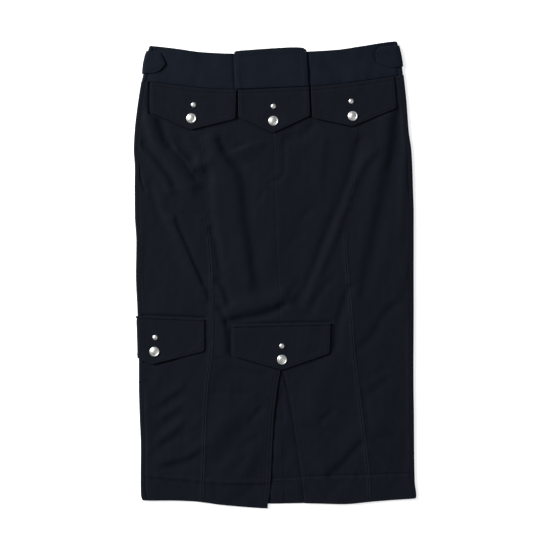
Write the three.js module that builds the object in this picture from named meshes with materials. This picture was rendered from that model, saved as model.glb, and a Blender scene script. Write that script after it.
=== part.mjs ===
// A cargo utility skirt in dark twill, laid flat on its back: waist towards +Y, front face up, millimetres.
// The origin is on the surface under the middle of the garment. Every piece is a closed wall of cloth, worked
// out from the seam lines below, and the pieces meet 0.3 mm apart at their seams.
import * as THREE from "three";

const CLOTH = 1.2; // one layer of twill
const HEM_PLY = 0.7; // what the turned-up hem adds inside the back
const BAND = 1.8; // waistband: two layers and its interlining
const FLAP = 2.0; // flap: two layers, turned through
const TAB = 1.5; // adjuster tabs and the centre tab
const GAP = 0.3; // between pieces at a seam, and between what lies on what
const FRONT_TOP = 4.2; // height of the front's face where no fold lifts it
const BAND_TOP = 5.0; // height of the front waistband's face
const SIDE_SEAM = 7; // the side seams lie this far in from the side folds, on the front
const HEM_DEPTH = 38; // turned-up hem
const SLIT_TOP = -130; // where the centre seam ends and the front slit starts
const RIDGE_MOST = 2.1; // the highest fold, over FRONT_TOP
const TROUGH_MOST = 1.25; // the deepest, under it
const FREE_EDGE_LIFT = 0.7; // how far a flap's free edge stands off the front
const SEAM_HOLD = 1; // a side seam holds the front flat this far in from it
const SEAM_FADE = 16; // and lets go of it here

// The lines of the skirt's body, one row for each height y: left side fold, left princess seam, centre line
// on its left and on its right (the two part at the slit), right princess seam, right side fold.
const SECTIONS = [
  { y: 300, left: -199.3, seamL: -119.5, midL: -2.6, midR: -2.6, seamR: 118.5, right: 193.4 },
  { y: 260, left: -205.8, seamL: -117.0, midL: -2.5, midR: -2.5, seamR: 119.0, right: 197.6 },
  { y: 215, left: -211.0, seamL: -114.0, midL: -2.3, midR: -2.3, seamR: 119.6, right: 201.0 },
  { y: 188, left: -212.3, seamL: -110.5, midL: -1.7, midR: -1.7, seamR: 121.0, right: 204.8 },
  { y: 160, left: -210.6, seamL: -107.6, midL: -1.0, midR: -1.0, seamR: 119.3, right: 206.4 },
  { y: 130, left: -210.9, seamL: -106.2, midL: 0.0, midR: 0.0, seamR: 115.8, right: 207.3 },
  { y: 90, left: -210.6, seamL: -102.5, midL: 0.9, midR: 0.9, seamR: 110.0, right: 208.4 },
  { y: 50, left: -208.4, seamL: -99.3, midL: 2.3, midR: 2.3, seamR: 105.4, right: 208.4 },
  { y: 0, left: -209.0, seamL: -95.9, midL: 4.9, midR: 4.9, seamR: 108.4, right: 208.3 },
  { y: -50, left: -206.9, seamL: -95.4, midL: 7.2, midR: 7.2, seamR: 113.2, right: 208.4 },
  { y: -100, left: -205.2, seamL: -95.4, midL: 8.9, midR: 8.9, seamR: 116.8, right: 208.2 },
  { y: -130, left: -204.6, seamL: -98.0, midL: 9.6, midR: 9.6, seamR: 119.4, right: 208.0 },
  { y: -165, left: -204.6, seamL: -102.3, midL: 4.4, midR: 17.8, seamR: 124.0, right: 208.1 },
  { y: -210, left: -203.4, seamL: -105.2, midL: -1.1, midR: 26.4, seamR: 129.2, right: 208.7 },
  { y: -260, left: -201.6, seamL: -106.7, midL: -4.1, midR: 33.6, seamR: 135.6, right: 209.0 },
  { y: -310, left: -201.9, seamL: -108.5, midL: -6.4, midR: 41.2, seamR: 140.6, right: 209.9 },
  { y: -332, left: -201.5, seamL: -109.2, midL: -8.6, midR: 43.4, seamR: 141.4, right: 212.4 },
  { y: -346, left: -192.5, seamL: -109.6, midL: -10.8, midR: 44.4, seamR: 141.8, right: 200.0 },
];

// The waistband, one row for each x: the seam under it and its top edge.
const WAIST = [
  { x: -202, seam: 291.2, top: 345.2 },
  { x: -157, seam: 286.0, top: 340.8 },
  { x: -112, seam: 280.6, top: 334.6 },
  { x: -67, seam: 278.4, top: 332.3 },
  { x: 0, seam: 280.6, top: 333.0 },
  { x: 52, seam: 282.8, top: 335.4 },
  { x: 90, seam: 285.8, top: 337.6 },
  { x: 127, seam: 290.3, top: 342.8 },
  { x: 165, seam: 296.2, top: 348.8 },
  { x: 180, seam: 298.4, top: 350.4 },
  { x: 194, seam: 300.2, top: 347.0 },
];

// The waistband's side folds, one row for each height.
const BAND_SIDES = [
  { y: 290, left: -200.8, right: 193.6 },
  { y: 300, left: -198.2, right: 192.4 },
  { y: 312, left: -197.3, right: 190.9 },
  { y: 328, left: -194.3, right: 188.7 },
  { y: 338, left: -190.5, right: 186.3 },
  { y: 351, left: -186.0, right: 183.2 },
];

// The hems, one row for each x: the front's lower edge and the back's.
const HEM = [
  { x: -203, front: -338.8, back: -338.5 },
  { x: -164, front: -338.6, back: -338.3 },
  { x: -125, front: -339.8, back: -339.5 },
  { x: -80, front: -345.0, back: -341.5 },
  { x: -46, front: -348.2, back: -343.0 },
  { x: -11, front: -350.4, back: -343.5 },
  { x: 44, front: -342.9, back: -342.7 },
  { x: 103, front: -344.0, back: -342.5 },
  { x: 150, front: -339.8, back: -339.5 },
  { x: 212, front: -335.3, back: -335.2 },
];

// The centre back seam, one row for each height.
const BACK_SEAM = [
  { y: 345, x: -2.6 },
  { y: -345, x: 13.0 },
];

// The largest folds of the front: a ridge has a positive rise, a trough a negative one, and reach is the half
// width over which it fades. Each runs from a through b and c to d.
const FOLDS = [
  { rise: -1.0, reach: 9, a: [-180, 222], b: [-170, 193], c: [-150, 172], d: [-125, 142] },
  { rise: 1.5, reach: 8, a: [-185, 187], b: [-172, 172], c: [-157, 151], d: [-145, 130] },
  { rise: -1.0, reach: 7, a: [-194, 186], b: [-178, 167], c: [-163, 148], d: [-151, 132] },
  { rise: 1.5, reach: 9, a: [-144, 200], b: [-132, 179], c: [-123, 163], d: [-115, 147] },
  { rise: -1.3, reach: 8, a: [-147, 196], b: [-123, 168], c: [-106, 150], d: [-100, 60] },
  { rise: -1.3, reach: 7, a: [-150, 82], b: [-132, 40], c: [-119, 12], d: [-101, -31] },
  { rise: 1.6, reach: 10, a: [-166, 92], b: [-158, 76], c: [-150, 62], d: [-141, 48] },
  { rise: 2.0, reach: 14, a: [-97, 189], b: [-91, 126], c: [-86, 60], d: [-70, -3] },
  { rise: -1.3, reach: 11, a: [-88, 193], b: [-56, 166], c: [-46, 78], d: [-31, -22] },
  { rise: -1.1, reach: 9, a: [-87, 18], b: [-77, -32], c: [-72, -56], d: [-70, -62] },
  { rise: -1.3, reach: 9, a: [124, 205], b: [108, 147], c: [69, 62], d: [22, -43] },
  { rise: 1.9, reach: 8, a: [132, 181], b: [104, 115], c: [69, 29], d: [37, -46] },
  { rise: -1.1, reach: 8, a: [147, 181], b: [119, 134], c: [82, 34], d: [49, -52] },
  { rise: 1.8, reach: 13, a: [153, 200], b: [145, 130], c: [137, 75], d: [130, 40] },
  { rise: -1.2, reach: 10, a: [177, 225], b: [169, 165], c: [153, 93], d: [130, -12] },
  { rise: -1.3, reach: 9, a: [-60, -58], b: [-25, -52], c: [-5, -46], d: [20, -33] },
  { rise: -1.1, reach: 8, a: [105, -37], b: [98, -49], c: [92, -57], d: [87, -64] },
  { rise: -0.9, reach: 8, a: [190, -3], b: [172, -40], c: [155, -78], d: [127, -107] },
  { rise: -0.8, reach: 9, a: [-170, -183], b: [-153, -181], c: [-136, -179], d: [-120, -177] },
  { rise: -0.8, reach: 9, a: [-161, -277], b: [-147, -272], c: [-133, -267], d: [-120, -262] },
  { rise: -1.2, reach: 26, a: [-84, -228], b: [-81, -231], c: [-78, -234], d: [-75, -237] },
  { rise: -1.2, reach: 22, a: [72, -178], b: [74, -181], c: [76, -185], d: [78, -188] },
  { rise: -0.8, reach: 9, a: [85, -288], b: [98, -274], c: [111, -261], d: [124, -248] },
  { rise: -0.7, reach: 9, a: [140, -192], b: [152, -182], c: [164, -172], d: [175, -162] },
  { rise: -0.7, reach: 9, a: [160, -243], b: [173, -246], c: [186, -249], d: [199, -252] },
];

// The flaps that lie on the front: their top corners, lower corners and point. A top edge given no height
// follows the waistband's seam.
const FLAPS = [
  {
    name: "flap_waist_l",
    top: { left: -186, right: -57.8 },
    low: { left: -187, leftY: 243.8, tip: -126, tipY: 217.5, right: -59.3, rightY: 234 },
  },
  {
    name: "flap_waist_c",
    top: { left: -55.5, right: 51 },
    low: { left: -54.8, leftY: 237, tip: -3, tipY: 213, right: 52.5, rightY: 238.5 },
  },
  {
    name: "flap_waist_r",
    top: { left: 54, right: 178.5 },
    low: { left: 55.5, leftY: 235.5, tip: 116.3, tipY: 222.8, right: 182, rightY: 250 },
  },
  {
    name: "flap_low_centre",
    top: { left: -64.5, leftY: -75, right: 83.6, rightY: -71.9 },
    low: { left: -63, leftY: -121.5, tip: 10.5, tipY: -142.5, right: 82.2, rightY: -117.5 },
  },
];

// The flap at the left hip lies round the side fold. Its edges are given along the front, from its right end.
const SIDE_FLAP = { right: -105.7, topY: -65.7, tip: -184, tipY: -134, cornerY: -114.3, foldTopY: -61.5 };
const SIDE_FLAP_RISE = 0.45; // its lower edge climbs by this much for each mm past its point
const SIDE_FLAP_REACH = 100; // about how far the side fold is from its right end
const SIDE_FLAP_MIDDLE = -100; // a height half way down it

// The adjuster tabs at the waistband's sides, one row for each x from the free end to the side fold.
const TAB_LEFT = [
  { x: -164.4, low: 315.2, high: 317.2 },
  { x: -168, low: 311.3, high: 325 },
  { x: -172, low: 306.8, high: 332.4 },
  { x: -177, low: 304, high: 334.7 },
  { x: -184, low: 302.2, high: 335.3 },
  { x: -200, low: 302.1, high: 337.2 },
];
const TAB_RIGHT = [
  { x: 151.4, low: 326, high: 331 },
  { x: 152.6, low: 322.3, high: 335.8 },
  { x: 157, low: 318, high: 340.6 },
  { x: 164, low: 314.6, high: 342 },
  { x: 174, low: 310.2, high: 343 },
  { x: 192, low: 313.6, high: 344.6 },
];

// The tab over the middle of the waistband: its side edges, and its top edge by x.
const CENTRE_TAB = { topLeft: -61.2, topRight: 47.2, lowLeft: -58.4, lowRight: 50.4 };
const CENTRE_TAB_TOP = [
  { x: -61.2, y: 333.6 },
  { x: -37.5, y: 337.4 },
  { x: 0, y: 340 },
  { x: 30, y: 341.3 },
  { x: 42, y: 340.4 },
  { x: 47.2, y: 336 },
];

// Snap caps and the small rivets above them, one row for each flap that they close.
const SNAPS = [
  { name: "waist_l", x: -125.3, y: 234.8, rivetX: -122, rivetY: 255 },
  { name: "waist_c", x: -2.3, y: 231, rivetX: -2.3, rivetY: 252.8 },
  { name: "waist_r", x: 116.6, y: 238.2, rivetX: 114.3, rivetY: 260.3 },
  { name: "low_side", x: -180.5, y: -114.9, rivetX: -179.6, rivetY: -93.6 },
  { name: "low_centre", x: 10.7, y: -126.9, rivetX: 10.4, rivetY: -106.4 },
];
const CAP_RADIUS = 7.5;
const RIVET_RADIUS = 3.9;

// The concealed zip's tape, inside the centre back seam.
const ZIP = { width: 24, top: 331, bottom: 140, under: 2.1, over: 2.7 };

const cloth = { color: 0x181c27, roughness: 0.9, metalness: 0 };
const bandCloth = { color: 0x191e2b, roughness: 0.88, metalness: 0 };
const tape = { color: 0x14171f, roughness: 0.8, metalness: 0 };
const steel = { color: 0xc9cac8, roughness: 0.28, metalness: 1 };

const clamp = (value, least, most) => Math.min(Math.max(value, least), most);
const mix = (from, to, share) => from + (to - from) * share;

function smoothstep(from, to, value) {
  const share = clamp((value - from) / (to - from), 0, 1);
  return share * share * (3 - 2 * share);
}

// A smooth line through a table's rows that never overshoots them: a cubic with monotone slopes.
function line(rows, across, along) {
  const knots = rows.map((row) => [row[across], row[along]]).sort((p, q) => p[0] - q[0]);
  const last = knots.length - 1;
  const steps = knots.slice(1).map((knot, i) => (knot[1] - knots[i][1]) / (knot[0] - knots[i][0]));
  const slopes = knots.map((knot, i) => {
    if (i === 0) return steps[0];
    if (i === last) return steps[last - 1];
    if (steps[i - 1] * steps[i] <= 0) return 0;
    return (2 * steps[i - 1] * steps[i]) / (steps[i - 1] + steps[i]);
  });
  return (at) => {
    const t = clamp(at, knots[0][0], knots[last][0]);
    const above = knots.findIndex((knot, i) => i > 0 && t <= knot[0]);
    const i = above - 1;
    const span = knots[i + 1][0] - knots[i][0];
    const k = (t - knots[i][0]) / span;
    const rise = (3 - 2 * k) * k * k;
    const bow = span * k * (1 - k) * ((1 - k) * slopes[i] - k * slopes[i + 1]);
    return mix(knots[i][1], knots[i + 1][1], rise) + bow;
  };
}

const leftFold = line(SECTIONS, "y", "left");
const rightFold = line(SECTIONS, "y", "right");
const seamL = line(SECTIONS, "y", "seamL");
const seamR = line(SECTIONS, "y", "seamR");
const midL = line(SECTIONS, "y", "midL");
const slitR = line(SECTIONS, "y", "midR");
const midR = (y) => (y > SLIT_TOP ? midL(y) : slitR(y));
const waistSeam = line(WAIST, "x", "seam");
const waistTop = line(WAIST, "x", "top");
const bandLeft = line(BAND_SIDES, "y", "left");
const bandRight = line(BAND_SIDES, "y", "right");
const hemFront = line(HEM, "x", "front");
const hemBack = line(HEM, "x", "back");
const backSeam = line(BACK_SEAM, "y", "x");

// The lower edge of a flap at x: two straight runs to its point, with small round corners.
const CORNER = 4;
function flapLow(low, x) {
  const share = x < low.tip ? (low.tip - x) / (low.tip - low.left) : (x - low.tip) / (low.right - low.tip);
  const straight = mix(low.tipY, x < low.tip ? low.leftY : low.rightY, clamp(share, 0, 1));
  const inset = clamp(Math.min(x - low.left, low.right - x), 0, CORNER);
  return straight + CORNER - Math.sqrt(CORNER ** 2 - (CORNER - inset) ** 2);
}

// The upper edge of a flap at x.
function flapTop(top, x) {
  if (top.leftY === undefined) return waistSeam(x) - GAP;
  return mix(top.leftY, top.rightY, clamp((x - top.left) / (top.right - top.left), 0, 1));
}

function sideFlapLow(along) {
  const tipAlong = SIDE_FLAP.right - SIDE_FLAP.tip;
  if (along > tipAlong) return SIDE_FLAP.tipY + (along - tipAlong) * SIDE_FLAP_RISE;
  const inset = clamp(along, 0, CORNER);
  const straight = mix(SIDE_FLAP.cornerY, SIDE_FLAP.tipY, along / tipAlong);
  return straight + CORNER - Math.sqrt(CORNER ** 2 - (CORNER - inset) ** 2);
}

function sideFlapTop(along) {
  return mix(SIDE_FLAP.topY, SIDE_FLAP.foldTopY, clamp(along / SIDE_FLAP_REACH, 0, 1));
}

// 1 on open cloth, falling to 0 under a flap, because a flap holds the cloth under it flat.
const FLAT_MARGIN = 3;
const FADE = 12;
function openCloth(x, y) {
  let open = 1;
  const spans = FLAPS.map((flap) => ({
    left: flap.low.left,
    right: flap.low.right,
    top: flap.top.leftY === undefined ? Infinity : flapTop(flap.top, x),
    low: flapLow(flap.low, clamp(x, flap.low.left, flap.low.right)),
  }));
  const along = SIDE_FLAP.right - x;
  const low = sideFlapLow(clamp(along, 0, SIDE_FLAP_REACH));
  spans.push({ left: -Infinity, right: SIDE_FLAP.right, top: sideFlapTop(along), low });
  for (const span of spans) {
    const outside = Math.max(span.left - x, x - span.right, y - span.top, span.low - y);
    open *= smoothstep(FLAT_MARGIN, FLAT_MARGIN + FADE, outside);
  }
  return open;
}

// The distance from a point to a fold's line.
function awayFrom(fold, x, y) {
  const knots = [fold.a, fold.b, fold.c, fold.d];
  let least = Infinity;
  for (let i = 0; i < 3; i += 1) {
    const [ax, ay] = knots[i];
    const [bx, by] = [knots[i + 1][0] - ax, knots[i + 1][1] - ay];
    const share = clamp(((x - ax) * bx + (y - ay) * by) / (bx * bx + by * by), 0, 1);
    least = Math.min(least, Math.hypot(x - ax - share * bx, y - ay - share * by));
  }
  return least;
}

// The height of the front's face: flat at the side seams and under the flaps, folded elsewhere.
function frontHeight(x, y) {
  let rise = 0;
  for (const fold of FOLDS) rise += fold.rise * Math.exp(-((awayFrom(fold, x, y) / fold.reach) ** 2));
  const limit = rise > 0 ? RIDGE_MOST : TROUGH_MOST;
  const soft = limit * Math.tanh(rise / limit);
  const inset = Math.min(x - leftFold(y), rightFold(y) - x) - SIDE_SEAM;
  return FRONT_TOP + soft * smoothstep(SEAM_HOLD, SEAM_FADE, inset) * openCloth(x, y);
}

// A closed wall from two grids of points, face(u, v) and lining(u, v), joined round their four edges.
function wall(columns, rows, face, lining) {
  const wide = columns.length;
  const layer = wide * rows.length;
  const places = [];
  for (const side of [face, lining]) rows.forEach((v) => columns.forEach((u) => places.push(...side(u, v))));
  const at = (i, j, back) => back * layer + j * wide + i;
  const faces = [];
  const quad = (a, b, c, d) => faces.push(a, b, c, a, c, d);
  for (let j = 0; j < rows.length - 1; j += 1) {
    for (let i = 0; i < wide - 1; i += 1) {
      quad(at(i, j, 0), at(i + 1, j, 0), at(i + 1, j + 1, 0), at(i, j + 1, 0));
      quad(at(i, j, 1), at(i, j + 1, 1), at(i + 1, j + 1, 1), at(i + 1, j, 1));
    }
    quad(at(0, j, 0), at(0, j + 1, 0), at(0, j + 1, 1), at(0, j, 1));
    quad(at(wide - 1, j, 0), at(wide - 1, j, 1), at(wide - 1, j + 1, 1), at(wide - 1, j + 1, 0));
  }
  const end = rows.length - 1;
  for (let i = 0; i < wide - 1; i += 1) {
    quad(at(i, 0, 0), at(i, 0, 1), at(i + 1, 0, 1), at(i + 1, 0, 0));
    quad(at(i, end, 0), at(i + 1, end, 0), at(i + 1, end, 1), at(i, end, 1));
  }
  const geometry = new THREE.BufferGeometry();
  geometry.setAttribute("position", new THREE.BufferAttribute(new Float32Array(places), 3));
  geometry.setIndex(facingOut(faces, places));
  geometry.computeVertexNormals();
  return geometry;
}

// The same triangles, turned round if they enclose a negative volume.
function facingOut(faces, places) {
  let volume = 0;
  const corner = (k) => new THREE.Vector3().fromArray(places, 3 * faces[k]);
  for (let k = 0; k < faces.length; k += 3) volume += corner(k).dot(corner(k + 1).cross(corner(k + 2)));
  return volume > 0 ? faces : faces.slice().reverse();
}

const evenly = (count) => Array.from({ length: count + 1 }, (_, i) => i / count);

const skirt = new THREE.Group();

function add(name, geometry, look) {
  const mesh = new THREE.Mesh(geometry, new THREE.MeshStandardMaterial({ name, ...look }));
  mesh.name = name;
  skirt.add(mesh);
  return mesh;
}

// Rows down the body: even ones, with more at the hem for its depth and its rounded corners.
const BODY_LENGTH = 625;
const EVEN_ROWS = 31;
const ABOVE_HEM = 6; // no even row comes nearer to the hem's stitch line
const HEM_ROWS = [HEM_DEPTH, HEM_DEPTH - 2, 18, 6, 0]; // heights above the edge
const BODY_ROWS = [
  ...evenly(EVEN_ROWS).filter((v) => v < 1 - (HEM_DEPTH + ABOVE_HEM) / BODY_LENGTH),
  ...HEM_ROWS.map((above) => 1 - above / BODY_LENGTH),
];

// An edge's line gives x from y and another gives y from x, so a place between them is settled in a few turns
// from about its height: these of the waist seam, the hem and the middle of the waistband.
const SETTLE_TURNS = 5;
const ABOUT_WAIST = 285;
const ABOUT_HEM = -340;
const ABOUT_BAND = 320;

// The point (x, y) at share u between two seam lines and share v from the waist to the hem.
function onBody(left, right, hem, u, v) {
  let y = mix(ABOUT_WAIST, ABOUT_HEM, v);
  let x = 0;
  for (let turn = 0; turn < SETTLE_TURNS; turn += 1) {
    x = mix(left(y), right(y), u);
    y = mix(waistSeam(x) - GAP / 2, hem(x), v);
  }
  return [x, y];
}

// A front panel between two seam lines, each left half a gap clear.
function frontPanel(name, left, right, columns) {
  const from = (y) => left(y) + GAP / 2;
  const to = (y) => right(y) - GAP / 2;
  const point = (u, v, depth) => {
    const [x, y] = onBody(from, to, hemFront, u, v);
    return [x, y, frontHeight(x, y) - depth];
  };
  const geometry = wall(evenly(columns), BODY_ROWS, (u, v) => point(u, v, 0), (u, v) => point(u, v, CLOTH));
  add(name, geometry, cloth);
}

const SIDE_COLUMNS = 8;
const CENTRE_COLUMNS = 10;
frontPanel("front_side_l", (y) => leftFold(y) + SIDE_SEAM, seamL, SIDE_COLUMNS);
frontPanel("front_centre_l", seamL, midL, CENTRE_COLUMNS);
frontPanel("front_centre_r", midR, seamR, CENTRE_COLUMNS);
frontPanel("front_side_r", seamR, (y) => rightFold(y) - SIDE_SEAM, SIDE_COLUMNS);

// A place on the way round a side fold. The way is flat under the garment, then half round, then flat on top.
// side is -1 or 1, edge the fold's x, height the face's height, outward how far the place is off the face,
// and station 0 to 1 the underside from x0, 1 to 2 the half round, 2 to 3 the top, which is reach long.
function roundFold({ side, edge, height, x0, reach }, station, outward) {
  const radius = height / 2;
  const turn = edge - side * radius;
  if (station <= 1) return [mix(x0, turn, station), -outward];
  if (station <= 2) {
    const angle = (station - 1.5) * Math.PI;
    const r = radius + outward;
    return [turn + side * r * Math.cos(angle), radius + r * Math.sin(angle)];
  }
  return [turn - side * (reach - radius) * (station - 2), height + outward];
}

// Where the back panels and the waistband's back halves have their columns, as roundFold stations.
const BACK_STATIONS = [0, 0.17, 0.33, 0.5, 0.67, 0.83, 1, 1.25, 1.5, 1.75, 2, 3];

// A back panel: flat under the garment, round the side fold, and on to the side seam at the front.
function backPanel(name, side) {
  const fold = side < 0 ? leftFold : rightFold;
  const place = (station, v, outward) => {
    let y = mix(ABOUT_WAIST, ABOUT_HEM, v);
    let x = 0;
    let z = 0;
    for (let turn = 0; turn < SETTLE_TURNS; turn += 1) {
      const x0 = backSeam(y) + (side * GAP) / 2;
      const way = { side, edge: fold(y), height: FRONT_TOP, x0, reach: SIDE_SEAM - GAP / 2 };
      [x, z] = roundFold(way, station, outward);
      y = mix(waistSeam(x) - GAP / 2, hemBack(x), v);
    }
    return [x, y, z];
  };
  const hem = 1 - (HEM_DEPTH - 1) / BODY_LENGTH;
  const depth = (station, v) => CLOTH + (v > hem && station < 1 ? HEM_PLY : 0);
  const face = (station, v) => place(station, v, 0);
  const inside = (station, v) => place(station, v, -depth(station, v));
  add(name, wall(BACK_STATIONS, BODY_ROWS, face, inside), cloth);
}

backPanel("back_panel_l", -1);
backPanel("back_panel_r", 1);

const BAND_COLUMNS = 28;
const BAND_ROWS = evenly(4);

// The waistband's front, between the side seams.
function bandFront() {
  const place = (u, v, depth) => {
    let y = ABOUT_BAND;
    let x = 0;
    for (let turn = 0; turn < SETTLE_TURNS; turn += 1) {
      x = mix(bandLeft(y) + SIDE_SEAM + GAP / 2, bandRight(y) - SIDE_SEAM - GAP / 2, u);
      y = mix(waistTop(x), waistSeam(x) + GAP / 2, v);
    }
    return [x, y, BAND_TOP - depth];
  };
  const columns = evenly(BAND_COLUMNS);
  const geometry = wall(columns, BAND_ROWS, (u, v) => place(u, v, 0), (u, v) => place(u, v, BAND));
  add("waistband_front", geometry, bandCloth);
}

// One half of the waistband's back, from the centre back round the side fold to the side seam.
function bandBack(name, side) {
  const fold = side < 0 ? bandLeft : bandRight;
  const place = (station, v, outward) => {
    let y = ABOUT_BAND;
    let x = 0;
    let z = 0;
    for (let turn = 0; turn < SETTLE_TURNS; turn += 1) {
      const x0 = backSeam(y) + (side * GAP) / 2;
      const way = { side, edge: fold(y), height: BAND_TOP, x0, reach: SIDE_SEAM - GAP / 2 };
      [x, z] = roundFold(way, station, outward);
      y = mix(waistTop(x), waistSeam(x) + GAP / 2, v);
    }
    return [x, y, z];
  };
  const geometry = wall(BACK_STATIONS, BAND_ROWS, (u, v) => place(u, v, 0), (u, v) => place(u, v, -BAND));
  add(name, geometry, bandCloth);
}

bandFront();
bandBack("waistband_back_l", -1);
bandBack("waistband_back_r", 1);

// The centre tab, on the waistband and standing a little above its top edge.
function centreTab() {
  const top = line(CENTRE_TAB_TOP, "x", "y");
  const place = (u, v, z) => {
    const topX = mix(CENTRE_TAB.topLeft, CENTRE_TAB.topRight, u);
    const x = mix(topX, mix(CENTRE_TAB.lowLeft, CENTRE_TAB.lowRight, u), v);
    return [x, mix(top(topX), waistSeam(x) + GAP, v), z];
  };
  const under = BAND_TOP + GAP;
  const columns = [0, 0.02, 0.12, 0.25, 0.4, 0.55, 0.7, 0.84, 0.93, 0.97, 1];
  const geometry = wall(columns, BAND_ROWS, (u, v) => place(u, v, under + TAB), (u, v) => place(u, v, under));
  add("centre_tab", geometry, bandCloth);
}
centreTab();

// Where a layer that lies round a fold ends, just above the surface that the garment rests on, as a roundFold
// station.
const ABOVE_SURFACE = 0.05;
function landing(height, outward) {
  const radius = height / 2;
  return 1.5 - Math.asin((radius - ABOVE_SURFACE) / (radius + outward)) / Math.PI;
}

// An adjuster tab: from its free end over the waistband, and round the side fold down to the surface.
function sideTab(name, side, rows) {
  const low = line(rows, "x", "low");
  const high = line(rows, "x", "high");
  const fold = side < 0 ? bandLeft : bandRight;
  const end = landing(BAND_TOP, GAP + TAB);
  const free = rows[0].x;
  const place = (station, v, outward) => {
    let y = ABOUT_BAND;
    let x = 0;
    let z = 0;
    for (let turn = 0; turn < SETTLE_TURNS; turn += 1) {
      const edge = fold(y);
      const way = { side, edge, height: BAND_TOP, x0: 0, reach: side * (edge - free) };
      [x, z] = roundFold(way, station, outward);
      y = mix(high(x), low(x), v);
    }
    return [x, y, z];
  };
  const stations = [end, 1.4, 1.5, 1.67, 1.83, 2, 2.25, 2.45, 2.6, 2.74, 2.88, 2.96, 3];
  const geometry = wall(stations, BAND_ROWS, (s, v) => place(s, v, GAP + TAB), (s, v) => place(s, v, GAP));
  add(name, geometry, bandCloth);
}
sideTab("side_tab_l", -1, TAB_LEFT);
sideTab("side_tab_r", 1, TAB_RIGHT);

// A flap is thin where it is caught in its seam, full a little below it, and stands off at its free edge.
const FLAP_FULL = 6; // how far below its top it is at full thickness
function flapLayer(y, top, low) {
  const down = clamp((top - y) / (top - low), 0, 1);
  const under = GAP + FREE_EDGE_LIFT * down * down;
  const thick = mix(FLAP / 2, FLAP, smoothstep(0, FLAP_FULL, top - y));
  return { under, over: under + thick };
}

const flapOver = {};

function flap({ name, top, low }) {
  const layer = (x, y) => flapLayer(y, flapTop(top, x), low.tipY);
  const spread = (inner, count) => evenly(count).map((u) => mix(inner[0], inner[1], u));
  const width = low.right - low.left;
  const tip = (low.tip - low.left) / width;
  const edge = CORNER / width;
  const corner = [0, 0.12, 0.45].map((k) => edge * k);
  const toTip = spread([edge, tip], 5);
  const fromTip = spread([tip, 1 - edge], 5).slice(1);
  const columns = [...corner, ...toTip, ...fromTip, ...corner.map((k) => 1 - k).reverse()];
  const rows = [0, 0.06, 0.13, 0.35, 0.6, 0.85, 1];
  const place = (u, v, part) => {
    const lowX = mix(low.left, low.right, u);
    const topX = mix(top.left, top.right, u);
    const x = mix(topX, lowX, v);
    const y = mix(flapTop(top, topX), flapLow(low, lowX), v);
    return [x, y, frontHeight(x, y) + layer(x, y)[part]];
  };
  flapOver[name] = (x, y) => frontHeight(x, y) + layer(x, y).over;
  add(name, wall(columns, rows, (u, v) => place(u, v, "over"), (u, v) => place(u, v, "under")), cloth);
}
FLAPS.forEach(flap);

// The hip flap, from its right end on the front round the side fold to the surface.
function sideFlap() {
  const layer = (y) => flapLayer(y, SIDE_FLAP.topY, SIDE_FLAP.tipY);
  const end = landing(FRONT_TOP, GAP + FLAP + FREE_EDGE_LIFT);
  const turnAt = leftFold(SIDE_FLAP_MIDDLE) + FRONT_TOP / 2;
  const tipStation = 2 + (SIDE_FLAP.tip - turnAt) / (SIDE_FLAP.right - turnAt);
  const fromTip = [0, 0.2, 0.4, 0.6, 0.8, 0.95, 0.985, 1].map((k) => mix(tipStation, 3, k));
  const stations = [end, 1.4, 1.5, 1.67, 1.83, 2, mix(2, tipStation, 0.5), ...fromTip];
  const place = (station, v, part) => {
    let y = SIDE_FLAP_MIDDLE;
    let x = 0;
    let z = 0;
    for (let turn = 0; turn < SETTLE_TURNS; turn += 1) {
      const edge = leftFold(y);
      const turnX = edge + FRONT_TOP / 2;
      const way = { side: -1, edge, height: FRONT_TOP, x0: 0, reach: SIDE_FLAP.right - edge };
      [x, z] = roundFold(way, station, layer(y)[part]);
      const round = (2 - Math.min(station, 2)) * Math.PI * (FRONT_TOP / 2 + FLAP);
      const along = SIDE_FLAP.right - Math.max(x, turnX) + round;
      y = mix(sideFlapTop(along), sideFlapLow(along), v);
    }
    return [x, y, z];
  };
  flapOver.flap_low_side = (x, y) => FRONT_TOP + layer(y).over;
  const rows = [0, 0.08, 0.16, 0.4, 0.65, 0.87, 1];
  const geometry = wall(stations, rows, (s, v) => place(s, v, "over"), (s, v) => place(s, v, "under"));
  add("flap_low_side", geometry, cloth);
}
sideFlap();

// A snap cap: a pressed dome with a plain raised ring. A rivet: a small plain dome. Both sit on their flap.
const CAP_PROFILE = [
  [0, 0], [6.4, 0], [7.3, 0.5], [7.5, 1.1], [7.2, 1.8],
  [6.3, 2.3], [5.6, 2.2], [4.9, 2.5], [2.6, 2.9], [0, 3.0],
];
const RIVET_PROFILE = [[0, 0], [3.3, 0], [3.9, 0.5], [3.6, 1.1], [2.2, 1.7], [0, 1.9]];

const SPOKES = 14;
const RIM_POINTS = 8;
function fastener(name, profile, radius, x, y, over) {
  const points = profile.map(([r, z]) => new THREE.Vector2(r, z));
  const mesh = add(name, new THREE.LatheGeometry(points, SPOKES), steel);
  const rim = evenly(RIM_POINTS).map((k) => {
    const angle = 2 * Math.PI * k;
    return over(x + radius * Math.cos(angle), y + radius * Math.sin(angle));
  });
  mesh.rotation.x = Math.PI / 2;
  mesh.position.set(x, y, Math.max(...rim) + GAP);
}

for (const snap of SNAPS) {
  const over = flapOver[`flap_${snap.name}`];
  fastener(`snap_cap_${snap.name}`, CAP_PROFILE, CAP_RADIUS, snap.x, snap.y, over);
  fastener(`rivet_${snap.name}`, RIVET_PROFILE, RIVET_RADIUS, snap.rivetX, snap.rivetY, over);
}

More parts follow.
